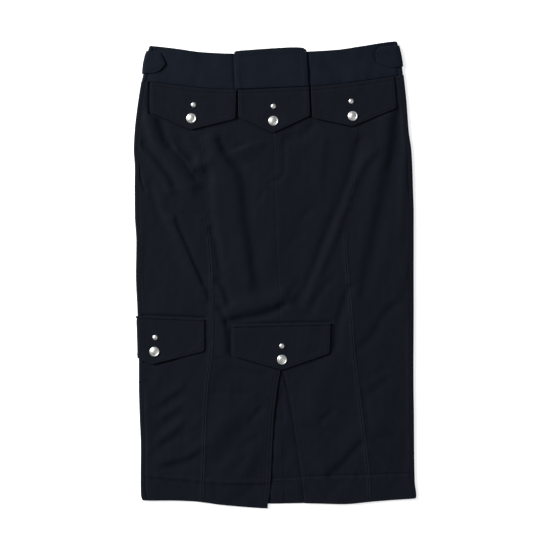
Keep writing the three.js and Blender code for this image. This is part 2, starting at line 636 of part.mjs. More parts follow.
// The zip's tape, inside the back along its centre seam.
function zipTape() {
  const place = (u, v, z) => {
    const y = mix(ZIP.top, ZIP.bottom, v);
    return [backSeam(y) + (u - 0.5) * ZIP.width, y, z];
  };
  const geometry = wall(evenly(2), evenly(6), (u, v) => place(u, v, ZIP.over), (u, v) => place(u, v, ZIP.under));
  add("zip_tape", geometry, tape);
}
zipTape();

export default skirt;
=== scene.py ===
"""A cargo utility skirt in dark navy twill, laid flat with its front up, on a plain pale surface."""

import math

import bpy
import numpy as np
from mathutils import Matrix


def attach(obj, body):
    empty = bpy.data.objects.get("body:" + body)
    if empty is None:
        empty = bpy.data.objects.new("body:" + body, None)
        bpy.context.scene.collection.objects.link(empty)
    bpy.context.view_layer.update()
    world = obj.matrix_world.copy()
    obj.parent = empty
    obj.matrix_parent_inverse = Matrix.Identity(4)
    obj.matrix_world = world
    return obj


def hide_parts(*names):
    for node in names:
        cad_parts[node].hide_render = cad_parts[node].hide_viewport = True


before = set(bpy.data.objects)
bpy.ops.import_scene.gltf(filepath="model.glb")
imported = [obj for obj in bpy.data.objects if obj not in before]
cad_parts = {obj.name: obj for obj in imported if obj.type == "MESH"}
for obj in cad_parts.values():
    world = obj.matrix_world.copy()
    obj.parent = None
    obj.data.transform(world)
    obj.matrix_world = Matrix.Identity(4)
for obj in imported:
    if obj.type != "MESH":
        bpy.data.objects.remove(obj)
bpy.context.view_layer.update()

# The surface and the view
# The skirt lies on a plain pale board. The camera looks straight down on it, with the waist at the top of
# the picture, under a broad soft light from the left and beyond the waist, a faint one from the right and
# a pale glow from all round. This section is in metres. The pieces are in mm, and MM scales each mesh.
MM = 0.001
BOARD_SIDE = 7.0
BOARD_TOP = -0.0002
BOARD_PALE = (0.86, 0.86, 0.86, 1)
BOARD_ROUGHNESS = 0.9
BOARD_GLOW = 0.6
PICTURE_SPAN = 0.825
LENS_MM = 85
SENSOR_MM = 36
CLOTH_LEVEL = 0.005
SKY_TINT = (0.93, 0.96, 1, 1)
SKY_STRENGTH = 0.26


def plain_material(name, colour, roughness, specular=0.5):
    """A material with its own nodes and nothing but a colour, a roughness and how strongly it mirrors."""
    material = bpy.data.materials.new(name)
    material.use_nodes = True
    shader = material.node_tree.nodes["Principled BSDF"]
    shader.inputs["Base Color"].default_value = colour
    shader.inputs["Roughness"].default_value = roughness
    shader.inputs["Specular IOR Level"].default_value = specular
    return material


half = BOARD_SIDE / 2
board_mesh = bpy.data.meshes.new("board")
board_corners = [(x, y, BOARD_TOP) for x, y in ((-half, -half), (half, -half), (half, half), (-half, half))]
board_mesh.from_pydata(board_corners, [], [(0, 1, 2, 3)])
board = bpy.data.objects.new("board", board_mesh)
pale_board = plain_material("pale_board", BOARD_PALE, BOARD_ROUGHNESS)
glow = pale_board.node_tree.nodes["Principled BSDF"]
glow.inputs["Emission Color"].default_value = (1, 1, 1, 1)
glow.inputs["Emission Strength"].default_value = BOARD_GLOW
board.data.materials.append(pale_board)
bpy.context.scene.collection.objects.link(board)

camera_data = bpy.data.cameras.new("camera")
camera_data.lens = LENS_MM
camera_data.sensor_width = SENSOR_MM
camera = bpy.data.objects.new("camera", camera_data)
camera.location = (0, 0, CLOTH_LEVEL + PICTURE_SPAN * LENS_MM / SENSOR_MM)
bpy.context.scene.collection.objects.link(camera)
bpy.context.scene.camera = camera
bpy.context.scene.view_settings.view_transform = "Standard"


def area_light(name, place, size, watts, colour):
    """A square light that faces the middle of the skirt."""
    data = bpy.data.lights.new(name, "AREA")
    data.size = size
    data.energy = watts
    data.color = colour
    light = bpy.data.objects.new(name, data)
    light.location = place
    away = np.array(place) / np.linalg.norm(place)
    light.rotation_euler = (math.acos(away[2]), 0, math.atan2(away[1], away[0]) + math.pi / 2)
    bpy.context.scene.collection.objects.link(light)


area_light("softbox", place=(-3.25, 1.8, 2.25), size=2.0, watts=340, colour=(1, 0.985, 0.96))
area_light("fill", place=(1.6, -1.2, 2.9), size=2.0, watts=14, colour=(0.93, 0.96, 1))
world = bpy.data.worlds.new("world")
world.use_nodes = True
world.node_tree.nodes["Background"].inputs["Color"].default_value = SKY_TINT
world.node_tree.nodes["Background"].inputs["Strength"].default_value = SKY_STRENGTH
bpy.context.scene.world = world

# The twill
# A fine, tightly woven cotton twill in dark navy. Its ribs run steeply up to the right, one every 0.6 mm.
# The yarns vary a little in thickness and in how deeply they took the dye. Seams and edges rub paler.
RIB_WIDTH = 0.0006
RIB_RUN, RIB_RISE = 0.45, 0.89


def twill_group():
    """The weave as a node group. Along the cloth's own map, in metres, the rib is a sine across the
    diagonal, each rib is parted into floats by a slower sine along it, and long thin noise makes the
    yarns uneven. Height is 0.35 rib + 0.15 float + 0.72 yarns + 0.5, and tone is 1 + 0.22 weave + 0.5
    yarns."""
    group = bpy.data.node_groups.new("twill", "ShaderNodeTree")
    make = group.interface.new_socket
    make(name="Vector", in_out="INPUT", socket_type="NodeSocketVector")
    make(name="Rib", in_out="INPUT", socket_type="NodeSocketFloat").default_value = RIB_WIDTH
    make(name="Height", in_out="OUTPUT", socket_type="NodeSocketFloat")
    make(name="Tone", in_out="OUTPUT", socket_type="NodeSocketFloat")
    nodes, links = group.nodes, group.links
    given = nodes.new("NodeGroupInput")
    result = nodes.new("NodeGroupOutput")

    def maths(operation, first, second=None):
        node = nodes.new("ShaderNodeMath")
        node.operation = operation
        for socket, value in zip(node.inputs, (first, second)):
            if isinstance(value, (int, float)):
                socket.default_value = value
            elif value is not None:
                links.new(value, socket)
        return node.outputs[0]

    parts = nodes.new("ShaderNodeSeparateXYZ")
    links.new(given.outputs["Vector"], parts.inputs[0])
    across = maths("DIVIDE", maths("SUBTRACT", maths("MULTIPLY", parts.outputs[0], RIB_RISE),
                                   maths("MULTIPLY", parts.outputs[1], RIB_RUN)), given.outputs["Rib"])
    along = maths("DIVIDE", maths("ADD", maths("MULTIPLY", parts.outputs[0], RIB_RUN),
                                  maths("MULTIPLY", parts.outputs[1], RIB_RISE)), given.outputs["Rib"])
    rib = maths("SINE", maths("MULTIPLY", across, 2 * math.pi))
    step = maths("SINE", maths("MULTIPLY", maths("ADD", along, maths("MULTIPLY", across, 0.5)), 2.4))
    weave = maths("ADD", maths("MULTIPLY", rib, 0.35), maths("MULTIPLY", step, 0.15))

    def yarns(scale, detail):
        mapping = nodes.new("ShaderNodeMapping")
        mapping.inputs["Scale"].default_value = scale
        links.new(given.outputs["Vector"], mapping.inputs["Vector"])
        noise = nodes.new("ShaderNodeTexNoise")
        noise.inputs["Scale"].default_value = 1
        noise.inputs["Detail"].default_value = detail
        links.new(mapping.outputs[0], noise.inputs["Vector"])
        return noise.outputs[0]

    warp = yarns((1100, 45, 1), 2)
    weft = yarns((50, 1000, 1), 2)
    uneven = maths("MULTIPLY", maths("SUBTRACT", maths("ADD", warp, weft), 1), 0.9)
    links.new(maths("ADD", maths("ADD", weave, maths("MULTIPLY", uneven, 0.8)), 0.5), result.inputs["Height"])
    links.new(maths("ADD", maths("ADD", maths("MULTIPLY", weave, 0.22), maths("MULTIPLY", uneven, 0.5)), 1),
              result.inputs["Tone"])
    return group


twill = twill_group()


def cloth_material(name, colour, worn, roughness=0.82, sheen=0.05):
    """Twill of one colour. Broad noise lightens and darkens the dye by 7 %, the weave's tone multiplies
    it, and the piece's rubbed attribute mixes in the worn colour."""
    material = bpy.data.materials.new(name)
    material.use_nodes = True
    nodes, links = material.node_tree.nodes, material.node_tree.links
    shader = nodes["Principled BSDF"]
    shader.inputs["Specular IOR Level"].default_value = 0.05
    shader.inputs["Sheen Weight"].default_value = sheen
    shader.inputs["Sheen Roughness"].default_value = 0.45
    shader.inputs["Sheen Tint"].default_value = (0.35, 0.45, 0.75, 1)
    uv = nodes.new("ShaderNodeUVMap")
    uv.uv_map = "grain"
    weave = nodes.new("ShaderNodeGroup")
    weave.node_tree = twill
    links.new(uv.outputs[0], weave.inputs["Vector"])
    place = nodes.new("ShaderNodeTexCoord")
    dye = nodes.new("ShaderNodeTexNoise")
    dye.inputs["Scale"].default_value = 26
    dye.inputs["Detail"].default_value = 4
    links.new(place.outputs["Object"], dye.inputs["Vector"])
    patch = nodes.new("ShaderNodeMapRange")
    patch.inputs["From Min"].default_value = 0.3
    patch.inputs["From Max"].default_value = 0.7
    patch.inputs["To Min"].default_value = 0.93
    patch.inputs["To Max"].default_value = 1.07
    links.new(dye.outputs[0], patch.inputs["Value"])
    tone = nodes.new("ShaderNodeMath")
    tone.operation = "MULTIPLY"
    links.new(patch.outputs[0], tone.inputs[0])
    links.new(weave.outputs["Tone"], tone.inputs[1])
    rubbed = nodes.new("ShaderNodeAttribute")
    rubbed.attribute_name = "rubbed"
    wear = nodes.new("ShaderNodeMix")
    wear.data_type = "RGBA"
    wear.inputs["A"].default_value = (*colour, 1)
    wear.inputs["B"].default_value = (*worn, 1)
    links.new(rubbed.outputs["Fac"], wear.inputs["Factor"])
    shade = nodes.new("ShaderNodeVectorMath")
    shade.operation = "SCALE"
    links.new(wear.outputs["Result"], shade.inputs[0])
    links.new(tone.outputs[0], shade.inputs["Scale"])
    links.new(shade.outputs[0], shader.inputs["Base Color"])
    grit = nodes.new("ShaderNodeMapRange")
    grit.inputs["To Min"].default_value = roughness - 0.06
    grit.inputs["To Max"].default_value = roughness + 0.1
    links.new(dye.outputs[0], grit.inputs["Value"])
    links.new(grit.outputs[0], shader.inputs["Roughness"])
    bump = nodes.new("ShaderNodeBump")
    bump.inputs["Strength"].default_value = 0.35
    bump.inputs["Distance"].default_value = 0.0002
    links.new(weave.outputs["Height"], bump.inputs["Height"])
    links.new(bump.outputs[0], shader.inputs["Normal"])
    return material


NAVY = (0.0050, 0.0066, 0.0102)
NAVY_WORN = (0.0072, 0.0090, 0.0130)
BAND_NAVY = (0.0052, 0.0078, 0.0135)
panel_twill = cloth_material("navy_twill", NAVY, NAVY_WORN)

# The front panels
# Four panels of one layer of twill. They meet at two princess seams and, down to the slit, at the centre
# seam. The allowances are pressed apart and topstitched on both sides of each princess seam.
#
# The lines of the body in mm. A row holds a height y, then the x of the left side fold, the left princess
# seam, the centre line's left and right edges, the right princess seam and the right side fold.
BODY_LINES = np.array([
    (300, -199.3, -119.5, -2.6, -2.6, 118.5, 193.4),
    (260, -205.8, -117.0, -2.5, -2.5, 119.0, 197.6),
    (215, -211.0, -114.0, -2.3, -2.3, 119.6, 201.0),
    (188, -212.3, -110.5, -1.7, -1.7, 121.0, 204.8),
    (160, -210.6, -107.6, -1.0, -1.0, 119.3, 206.4),
    (130, -210.9, -106.2, 0.0, 0.0, 115.8, 207.3),
    (90, -210.6, -102.5, 0.9, 0.9, 110.0, 208.4),
    (50, -208.4, -99.3, 2.3, 2.3, 105.4, 208.4),
    (0, -209.0, -95.9, 4.9, 4.9, 108.4, 208.3),
    (-50, -206.9, -95.4, 7.2, 7.2, 113.2, 208.4),
    (-100, -205.2, -95.4, 8.9, 8.9, 116.8, 208.2),
    (-130, -204.6, -98.0, 9.6, 9.6, 119.4, 208.0),
    (-165, -204.6, -102.3, 4.4, 17.8, 124.0, 208.1),
    (-210, -203.4, -105.2, -1.1, 26.4, 129.2, 208.7),
    (-260, -201.6, -106.7, -4.1, 33.6, 135.6, 209.0),
    (-310, -201.9, -108.5, -6.4, 41.2, 140.6, 209.9),
    (-332, -201.5, -109.2, -8.6, 43.4, 141.4, 212.4),
    (-346, -192.5, -109.6, -10.8, 44.4, 141.8, 200.0),
])
# The waistband in mm: x, the seam under it, its top edge.
WAIST_LINES = np.array([
    (-202, 291.2, 345.2), (-157, 286.0, 340.8), (-112, 280.6, 334.6), (-67, 278.4, 332.3), (0, 280.6, 333.0),
    (52, 282.8, 335.4), (90, 285.8, 337.6), (127, 290.3, 342.8), (165, 296.2, 348.8), (180, 298.4, 350.4),
    (194, 300.2, 347.0),
])
# The hems in mm: x, the front's edge, the back's.
HEM_LINES = np.array([
    (-203, -338.8, -338.5), (-164, -338.6, -338.3), (-125, -339.8, -339.5), (-80, -345.0, -341.5),
    (-46, -348.2, -343.0), (-11, -350.4, -343.5), (44, -342.9, -342.7), (103, -344.0, -342.5),
    (150, -339.8, -339.5), (212, -335.3, -335.2),
])
SLIT_TOP = -130
SIDE_SEAM = 7
HALF_GAP = 0.08


def smooth_line(table, along, column):
    """A monotone cubic through one column of a table: between two rows the value is a cubic whose slopes
    are the harmonic means of the steps on both sides, or flat at a turning point."""
    rows = table[np.argsort(table[:, along])]
    knots, values = rows[:, along], rows[:, column]
    step = np.diff(values) / np.diff(knots)
    both = step[:-1] * step[1:]
    mean = 2 * both / np.where(np.abs(step[:-1] + step[1:]) < 1e-9, 1, step[:-1] + step[1:])
    slope = np.concatenate([step[:1], np.where(both > 0, mean, 0), step[-1:]])

    def value_at(place):
        at = np.clip(place, knots[0], knots[-1])
        row = np.clip(np.searchsorted(knots, at) - 1, 0, len(knots) - 2)
        span = knots[row + 1] - knots[row]
        share = (at - knots[row]) / span
        rise = values[row] + (values[row + 1] - values[row]) * (3 - 2 * share) * share * share
        return rise + span * share * (1 - share) * ((1 - share) * slope[row] - share * slope[row + 1])

    return value_at


left_fold, seam_l, mid_l, slit_r, seam_r, right_fold = (smooth_line(BODY_LINES, 0, k) for k in range(1, 7))
waist_seam, waist_top = (smooth_line(WAIST_LINES, 0, k) for k in (1, 2))
hem_front, hem_back = (smooth_line(HEM_LINES, 0, k) for k in (1, 2))


def mid_r(y):
    """The right edge of the centre line: the left edge's own line down to the slit, then the slit's
    right."""
    return np.where(y > SLIT_TOP, mid_l(y), slit_r(y))


# The folds in mm. A row holds the rise (a ridge comes up, a trough goes down), the reach on the
# right of its line, the reach on its left, and the line's points. A line runs down the picture.
# One that is nearly level runs to the left, so its first reach is the one below it. A short reach makes a
# sharp crease.
FOLDS = [
    # the left side panel, below the waist flap
    (2.4, 8, 7,
     [(-206, 196), (-196, 186), (-187, 175), (-177, 162), (-168, 150), (-161, 138), (-157, 128)]),
    (-2.4, 6, 8,
     [(-196, 196), (-188, 190), (-179, 180), (-171, 169), (-163, 158), (-156, 146), (-152, 136)]),
    (5.0, 12, 8,
     [(-189, 234), (-184, 212), (-177, 194), (-166, 181), (-155, 169), (-144, 154), (-134, 142),
      (-128, 134)]),
    (-2.4, 7, 8, [(-171, 232), (-166, 210), (-158, 195)]),
    (-0.9, 3, 4, [(-156, 193), (-148, 184), (-135, 170), (-127, 156), (-119, 145)]),
    (0.9, 4, 3, [(-153, 197), (-144, 185), (-131, 171), (-123, 158)]),
    (-3.4, 7, 11, [(-141, 199), (-133, 188), (-125, 178)]),
    (2.6, 7, 8, [(-101, 170), (-107, 167), (-113, 166)]),
    (-2.2, 13, 8, [(-101, 149), (-110, 147), (-119, 149)]),
    (1.0, 7, 6, [(-131, 203), (-121, 192), (-115, 184)]),
    (-1.1, 7, 6, [(-187, 136), (-182, 116), (-178, 100), (-172, 84), (-164, 70), (-158, 60)]),
    (0.8, 8, 7, [(-172, 122), (-168, 104), (-162, 86)]),
    (-0.7, 3.5, 4, [(-112, 90), (-124, 91), (-136, 93)]),
    # its long crease, a ridge with a steep right side
    (2.3, 4, 12,
     [(-153, 84), (-149, 72), (-141, 54), (-134, 38), (-127, 20), (-119, 3), (-113, -10), (-105, -32)]),
    (-1.2, 5, 3, [(-149, 80), (-137, 54), (-129, 36), (-121, 18), (-114, 2), (-108, -12)]),
    # beside the left princess seam
    (-1.3, 6, 9, [(-104, 170), (-101, 140), (-100, 115), (-98, 90), (-95, 62)]),
    (-1.6, 5, 4, [(-95, 68), (-89, 48), (-86, 28), (-83, 8), (-80, -6)]),
    (-1.7, 6, 5, [(-86, -8), (-78, -16), (-73, -28), (-69, -42)]),
    (1.1, 4, 8, [(-93, -4), (-86, -15), (-80, -28), (-77, -42)]),
    (-1.8, 5, 6, [(-81, -50), (-74, -64), (-69, -78), (-67, -96), (-66, -114)]),
    (1.2, 5, 9, [(-92, -46), (-84, -60), (-78, -74), (-75, -96), (-74, -112)]),
    # the left centre panel
    (1.7, 22, 8, [(-93, 200), (-90, 160), (-87, 125), (-84, 95), (-80, 66), (-75, 40), (-69, 15)]),
    (2.9, 10, 15,
     [(-93, 202), (-85, 184), (-76, 168), (-66, 151), (-61, 125), (-58, 100), (-55, 72), (-50, 46),
      (-45, 20), (-41, -6)]),
    (-1.8, 15, 8,
     [(-76, 182), (-62, 168), (-48, 158), (-43, 136), (-41, 110), (-39, 84), (-35, 54), (-31, 24),
      (-28, -2), (-26, -20)]),
    (-2.8, 6, 8, [(-82, 200), (-73, 187), (-63, 175), (-51, 166)]),
    (1.9, 13, 3.5, [(-26, 199), (-40, 192), (-52, 187), (-66, 182)]),
    (-0.7, 3, 3, [(-14, 203), (-27, 202)]),
    (-0.7, 3, 3, [(-46, 195), (-60, 192)]),
    (-0.8, 4, 4, [(-17, 126), (-20, 118), (-24, 112)]),
    # the hooked crease and the soft ones over the middle
    (-0.8, 4, 4, [(14, 202), (15, 185), (14, 165), (14, 152), (7, 144), (-6, 139)]),
    (-2.0, 8, 7, [(56, 224), (48, 214), (36, 207), (24, 205)]),
    (1.0, 7, 8, [(74, 200), (70, 175), (67, 152), (66, 132)]),
    (-0.7, 7, 6, [(70, 106), (54, 97), (42, 86)]),
    (-0.6, 8, 7, [(38, 66), (28, 52), (16, 38)]),
    # the long double fold from the right flap to the thigh flap
    (-2.3, 9, 7,
     [(128, 202), (124, 188), (120, 172), (114, 150), (105, 124), (95, 100), (85, 77), (73, 47),
      (62, 18), (53, -6), (44, -22), (35, -38)]),
    (1.6, 7, 9,
     [(148, 184), (134, 170), (124, 154), (112, 127), (103, 101), (95, 78), (85, 50), (73, 22),
      (65, 4), (57, -14), (50, -34)]),
    (-0.9, 10, 7,
     [(158, 182), (142, 160), (131, 140), (121, 116), (113, 94), (104, 68), (94, 42), (84, 20), (77, 4)]),
    (-1.1, 6, 6, [(88, -5), (75, -18), (66, -32), (57, -46), (52, -56)]),
    # the right side panel
    (1.8, 12, 14,
     [(165, 238), (163, 202), (159, 172), (153, 145), (148, 115), (143, 90), (138, 62), (131, 30),
      (125, 2), (119, -24)]),
    (1.1, 7, 9, [(169, 246), (169, 226), (167, 205), (164, 182), (158, 160)]),
    (-1.6, 12, 10,
     [(187, 240), (185, 205), (180, 170), (174, 142), (166, 110), (158, 78), (150, 45), (143, 10),
      (134, -24)]),
    (-1.0, 9, 8, [(187, 246), (187, 226), (185, 205), (182, 182), (176, 160)]),
    (-0.7, 6, 6, [(184, 150), (182, 120), (181, 80)]),
    (0.9, 8, 8, [(193, 170), (192, 140), (190, 100), (188, 60)]),
    (0.7, 8, 8, [(196, 10), (188, -12), (180, -34)]),
    # over the thigh flap
    (3.6, 9, 14, [(14, -33), (4, -38), (-12, -43), (-32, -47), (-50, -51), (-68, -58)]),
    (-2.8, 5, 6, [(14, -46), (4, -53), (-10, -59), (-30, -64), (-50, -67), (-70, -72)]),
    (-0.9, 5, 6, [(36, -12), (26, -24), (15, -34), (7, -41)]),
    (-2.2, 8, 6, [(112, -20), (106, -36), (102, -50), (97, -64), (93, -80), (90, -106)]),
    # the right side, below it
    (-1.6, 9, 6, [(178, -46), (162, -64), (154, -82), (142, -98), (127, -111)]),
    (1.6, 20, 20, [(86, -136), (74, -158), (66, -180), (60, -200)]),
    (-1.0, 6, 5, [(84, -206), (76, -213), (68, -220)]),
    (-0.9, 4, 4, [(50, -227), (62, -231), (75, -236)]),
    (-1.1, 7, 6, [(168, -158), (157, -167), (147, -176), (138, -182)]),
    (-0.8, 6, 6, [(164, -142), (152, -148), (142, -153)]),
    (-0.8, 5, 4, [(133, -176), (137, -200), (140, -224)]),
    (-1.2, 8, 8, [(208, -256), (190, -247), (172, -243), (152, -247)]),
    (1.8, 9, 15, [(130, -236), (117, -248), (106, -262), (96, -275), (84, -286), (74, -291)]),
    (-1.2, 9, 6, [(130, -254), (117, -267), (105, -281), (90, -297)]),
    (-0.8, 6, 6, [(146, -272), (154, -280), (160, -288)]),
    (-0.9, 7, 6, [(104, -308), (90, -319), (80, -332)]),
    # the left centre panel, below the flaps
    (-1.2, 7, 5, [(-22, -151), (-42, -147), (-64, -140)]),
    (-0.7, 5, 5, [(-40, -178), (-60, -179)]),
    (-0.7, 5, 5, [(-74, -176), (-92, -177)]),
    (-0.7, 3, 3, [(-82, -126), (-96, -127)]),
    (1.9, 17, 15, [(-60, -208), (-75, -224), (-90, -240), (-101, -254)]),
    (-1.7, 12, 14, [(-50, -234), (-64, -256), (-78, -272), (-92, -282)]),
    (-1.4, 5, 5, [(-22, -202), (-28, -209), (-34, -217)]),
    (-1.3, 7, 6, [(-28, -244), (-38, -251), (-48, -258)]),
    (0.9, 8, 8, [(-30, -268), (-40, -282), (-46, -298)]),
    (-0.8, 6, 6, [(-44, -274), (-54, -286), (-66, -294)]),
    (-0.9, 8, 8, [(-36, -322), (-50, -332), (-62, -340)]),
    # the short slanting creases of the left side panel, below the hip flap
    (1.0, 9, 6, [(-196, -170), (-195, -200), (-194, -235), (-194, -262)]),
    (0.9, 9, 8, [(-180, -160), (-184, -178), (-188, -196)]),
    (1.3, 6, 8, [(-143, -168), (-152, -175), (-162, -182), (-171, -189)]),
    (-1.0, 7, 6, [(-144, -182), (-153, -188), (-163, -195), (-172, -200)]),
    (1.1, 6, 7, [(-146, -197), (-155, -203), (-164, -208), (-171, -213)]),
    (-1.0, 7, 6, [(-142, -209), (-152, -215), (-162, -222), (-171, -228)]),
    (0.9, 8, 7, [(-110, -212), (-118, -226), (-126, -240)]),
    (-0.7, 5, 5, [(-118, -232), (-128, -238), (-138, -246)]),
    (1.5, 6, 8, [(-141, -222), (-151, -231), (-161, -239), (-171, -246)]),
    (-1.2, 7, 6, [(-142, -238), (-152, -246), (-162, -253), (-168, -257)]),
    (1.6, 6, 10, [(-115, -261), (-126, -267), (-138, -272), (-152, -276), (-167, -280)]),
    (-1.3, 8, 6, [(-114, -271), (-128, -280), (-144, -284), (-158, -287), (-168, -289)]),
    (-0.7, 4, 4, [(-155, -300), (-168, -302)]),
]
# The front's level, how high and deep the folds may go, and three scales of soft waves, each with a
# length, a height and a seed.
FRONT_LEVEL = 5.4
HIGHEST_RISE = 5.5
DEEPEST_DIP = 3.3
FRONT_WAVES = ((95, 0.55, 4), (34, 0.22, 9), (14, 0.075, 21))
# How far the cloth sinks right and left of the slit, how wide that slope is, and how far the right fold
# stands up.
SLIT_SINK = 2.0
LEFT_SINK = 1.0
SINK_REACH = 42
RIGHT_EDGE_RISE = 0.8
# Lines on which the cloth is pressed down: close to the edges of the thigh flap, the hip flap, the waist
# flaps.
PRESSED = [
    [(10.5, -143.5), (-65.6, -122.5), (-65.6, -73.8), (85, -70.6)], [(-212, -60.2), (-104.6, -64.4)],
    [(-208, -123), (-184, -135), (-150, -126)],
    [(-188.2, 290), (-188.4, 243), (-126, 216.8)], [(-56.6, 280), (-57, 236), (-3, 212.2)],
    [(52.6, 281), (54, 236), (116.3, 222)],
]
PRESSED_DIP = 2.2
PRESSED_REACH = 1.8
# Where the flaps lie on the cloth: the lower edge of all three waist flaps, the thigh flap's top edge,
# its left corner, point and right corner, and the same of the hip flap as it is seen from above.
WAIST_FLAP_EDGES = np.array([
    (-190, 246.0), (-187, 243.8), (-126, 217.5), (-59.3, 234.0), (-57, 245.0), (-54.8, 237.0), (-3, 213.0),
    (52.5, 238.5), (54, 245.0), (55.5, 235.5), (116.3, 222.8), (182, 250.0), (186, 300.0),
])
NO_FLAP = 310
THIGH_TOP = ((-64.5, -75.0), (83.6, -71.9))
THIGH_LOW = ((-63.0, -121.5), (10.5, -142.5), (82.2, -117.5))
THIGH_SIDES = (-64, 83)
HELD_NEAR_WAIST_FLAP = (-2, 9)
HELD_NEAR_LOW_FLAP = (-1, 7)
HIP_LOW = ((-208, -122.3), (-184, -134), (-105.7, -114.3))
HIP_RIGHT = -105.7
HIP_TOP = -62


def smoothstep(low, high, value):
    """0 below low, 1 above high, and an even S between them."""
    share = np.clip((value - low) / (high - low), 0, 1)
    return share * share * (3 - 2 * share)


def bell(distance, reach):
    """1 at no distance, falling softly to 0.37 at the reach and to almost nothing at twice that."""
    return np.exp(-((distance / reach) ** 2))


def fading(distance, reach):
    """1 at no distance, falling steeply at once, to 0.37 at the reach."""
    return np.exp(-distance / reach)


def nearest_on(line, x, y):
    """The distance from each point to a line of straight runs, and the side of its nearest run it lies
    on: 1 is to the right of a run that goes down the picture, -1 to its left, and values between lie past
    its ends."""
    near = np.full(np.shape(x), 1e9)
    side = np.zeros(np.shape(x))
    for (start_x, start_y), (end_x, end_y) in zip(line, line[1:]):
        run_x, run_y = end_x - start_x, end_y - start_y
        from_x, from_y = x - start_x, y - start_y
        share = np.clip((from_x * run_x + from_y * run_y) / (run_x * run_x + run_y * run_y), 0, 1)
        away = np.hypot(from_x - share * run_x, from_y - share * run_y)
        across = (run_x * from_y - run_y * from_x) / math.hypot(run_x, run_y)
        closer = away < near
        near = np.where(closer, away, near)
        side = np.where(closer, np.clip(across / np.maximum(away, 1e-6), -1, 1), side)
    return near, side


def inset_from(line, x, y):
    """The distance from each point to a line of straight runs."""
    return nearest_on(line, x, y)[0]


def fold_relief(x, y):
    """The sum of all folds: each is its rise times a bell of the distance to its line over its reach. The
    reach is that of the side the point lies on, and turns smoothly from one to the other round the line's
    ends."""
    total = np.zeros_like(x)
    for rise, reach_right, reach_left, line in FOLDS:
        near, side = nearest_on(line, x, y)
        total += rise * bell(near, (reach_right + reach_left) / 2 + (reach_right - reach_left) / 2 * side)
    return total


def undulation(x, y, length, height, seed, tall=1.6):
    """Uneven waves of about one length: a sum of seven sines of random heading and phase, stretched along
    y."""
    draw = np.random.default_rng(seed)
    total = np.zeros_like(x)
    for _ in range(7):
        heading = draw.uniform(0, math.pi)
        wave = length * draw.uniform(0.7, 1.5)
        phase = draw.uniform(0, 2 * math.pi)
        total += np.sin(2 * math.pi * (x * math.cos(heading) + y / tall * math.sin(heading)) / wave + phase)
    return height * total / 2.6


def ripple(along, seed, short, long):
    """An uneven ripple along a line, between -1 and 1 or so: four sines whose lengths lie from short to
    long."""
    draw = np.random.default_rng(seed)
    waves = [(draw.uniform(short, long), draw.uniform(0, 2 * math.pi)) for _ in range(4)]
    return sum(np.sin(2 * math.pi * along / length + phase) for length, phase in waves) / 2.4


def under_flap(x, y):
    """1 on open cloth, falling to 0 where a flap lies on it."""
    edge = np.interp(x, WAIST_FLAP_EDGES[:, 0], WAIST_FLAP_EDGES[:, 1], left=NO_FLAP, right=NO_FLAP)
    over_thigh, under_thigh = (np.interp(x, *np.transpose(line)) for line in (THIGH_TOP, THIGH_LOW))
    thigh = np.maximum.reduce([THIGH_SIDES[0] - x, x - THIGH_SIDES[1], y - over_thigh, under_thigh - y])
    hip = np.maximum.reduce([x - HIP_RIGHT, y - HIP_TOP, np.interp(x, *np.transpose(HIP_LOW)) - y])
    low_flaps = smoothstep(*HELD_NEAR_LOW_FLAP, thigh) * smoothstep(*HELD_NEAR_LOW_FLAP, hip)
    return smoothstep(*HELD_NEAR_WAIST_FLAP, edge - y) * low_flaps


def body_level(x, y):
    """The height of the front's face in mm: folds and waves, held flat under the flaps and at the side
    seams. It sinks towards the slit and stands a little higher along the right fold."""
    rise = fold_relief(x, y) + sum(undulation(x, y, *wave) for wave in FRONT_WAVES)
    limit = np.where(rise > 0, HIGHEST_RISE, DEEPEST_DIP)
    rise = limit * np.tanh(rise / limit)
    to_left, to_right = x - left_fold(y), right_fold(y) - x
    held = smoothstep(6, 13, np.minimum(to_left, to_right)) * under_flap(x, y)
    beside_slit = np.maximum(mid_l(y) - x, x - slit_r(y))
    deep = LEFT_SINK + (SLIT_SINK - LEFT_SINK) * smoothstep(-5, 5, x - (mid_l(y) + slit_r(y)) / 2)
    sunk = deep * (1 - smoothstep(-4, SINK_REACH, beside_slit)) * smoothstep(SLIT_TOP + 30, SLIT_TOP - 20, y)
    return FRONT_LEVEL + rise * held + RIGHT_EDGE_RISE * (1 - smoothstep(5, 15, to_right)) - sunk


def pressed_dip(x, y):
    """How far the cloth is pressed down in a groove close along some of the flaps' edges."""
    return PRESSED_DIP * sum(bell(inset_from(edge, x, y), PRESSED_REACH) for edge in PRESSED)


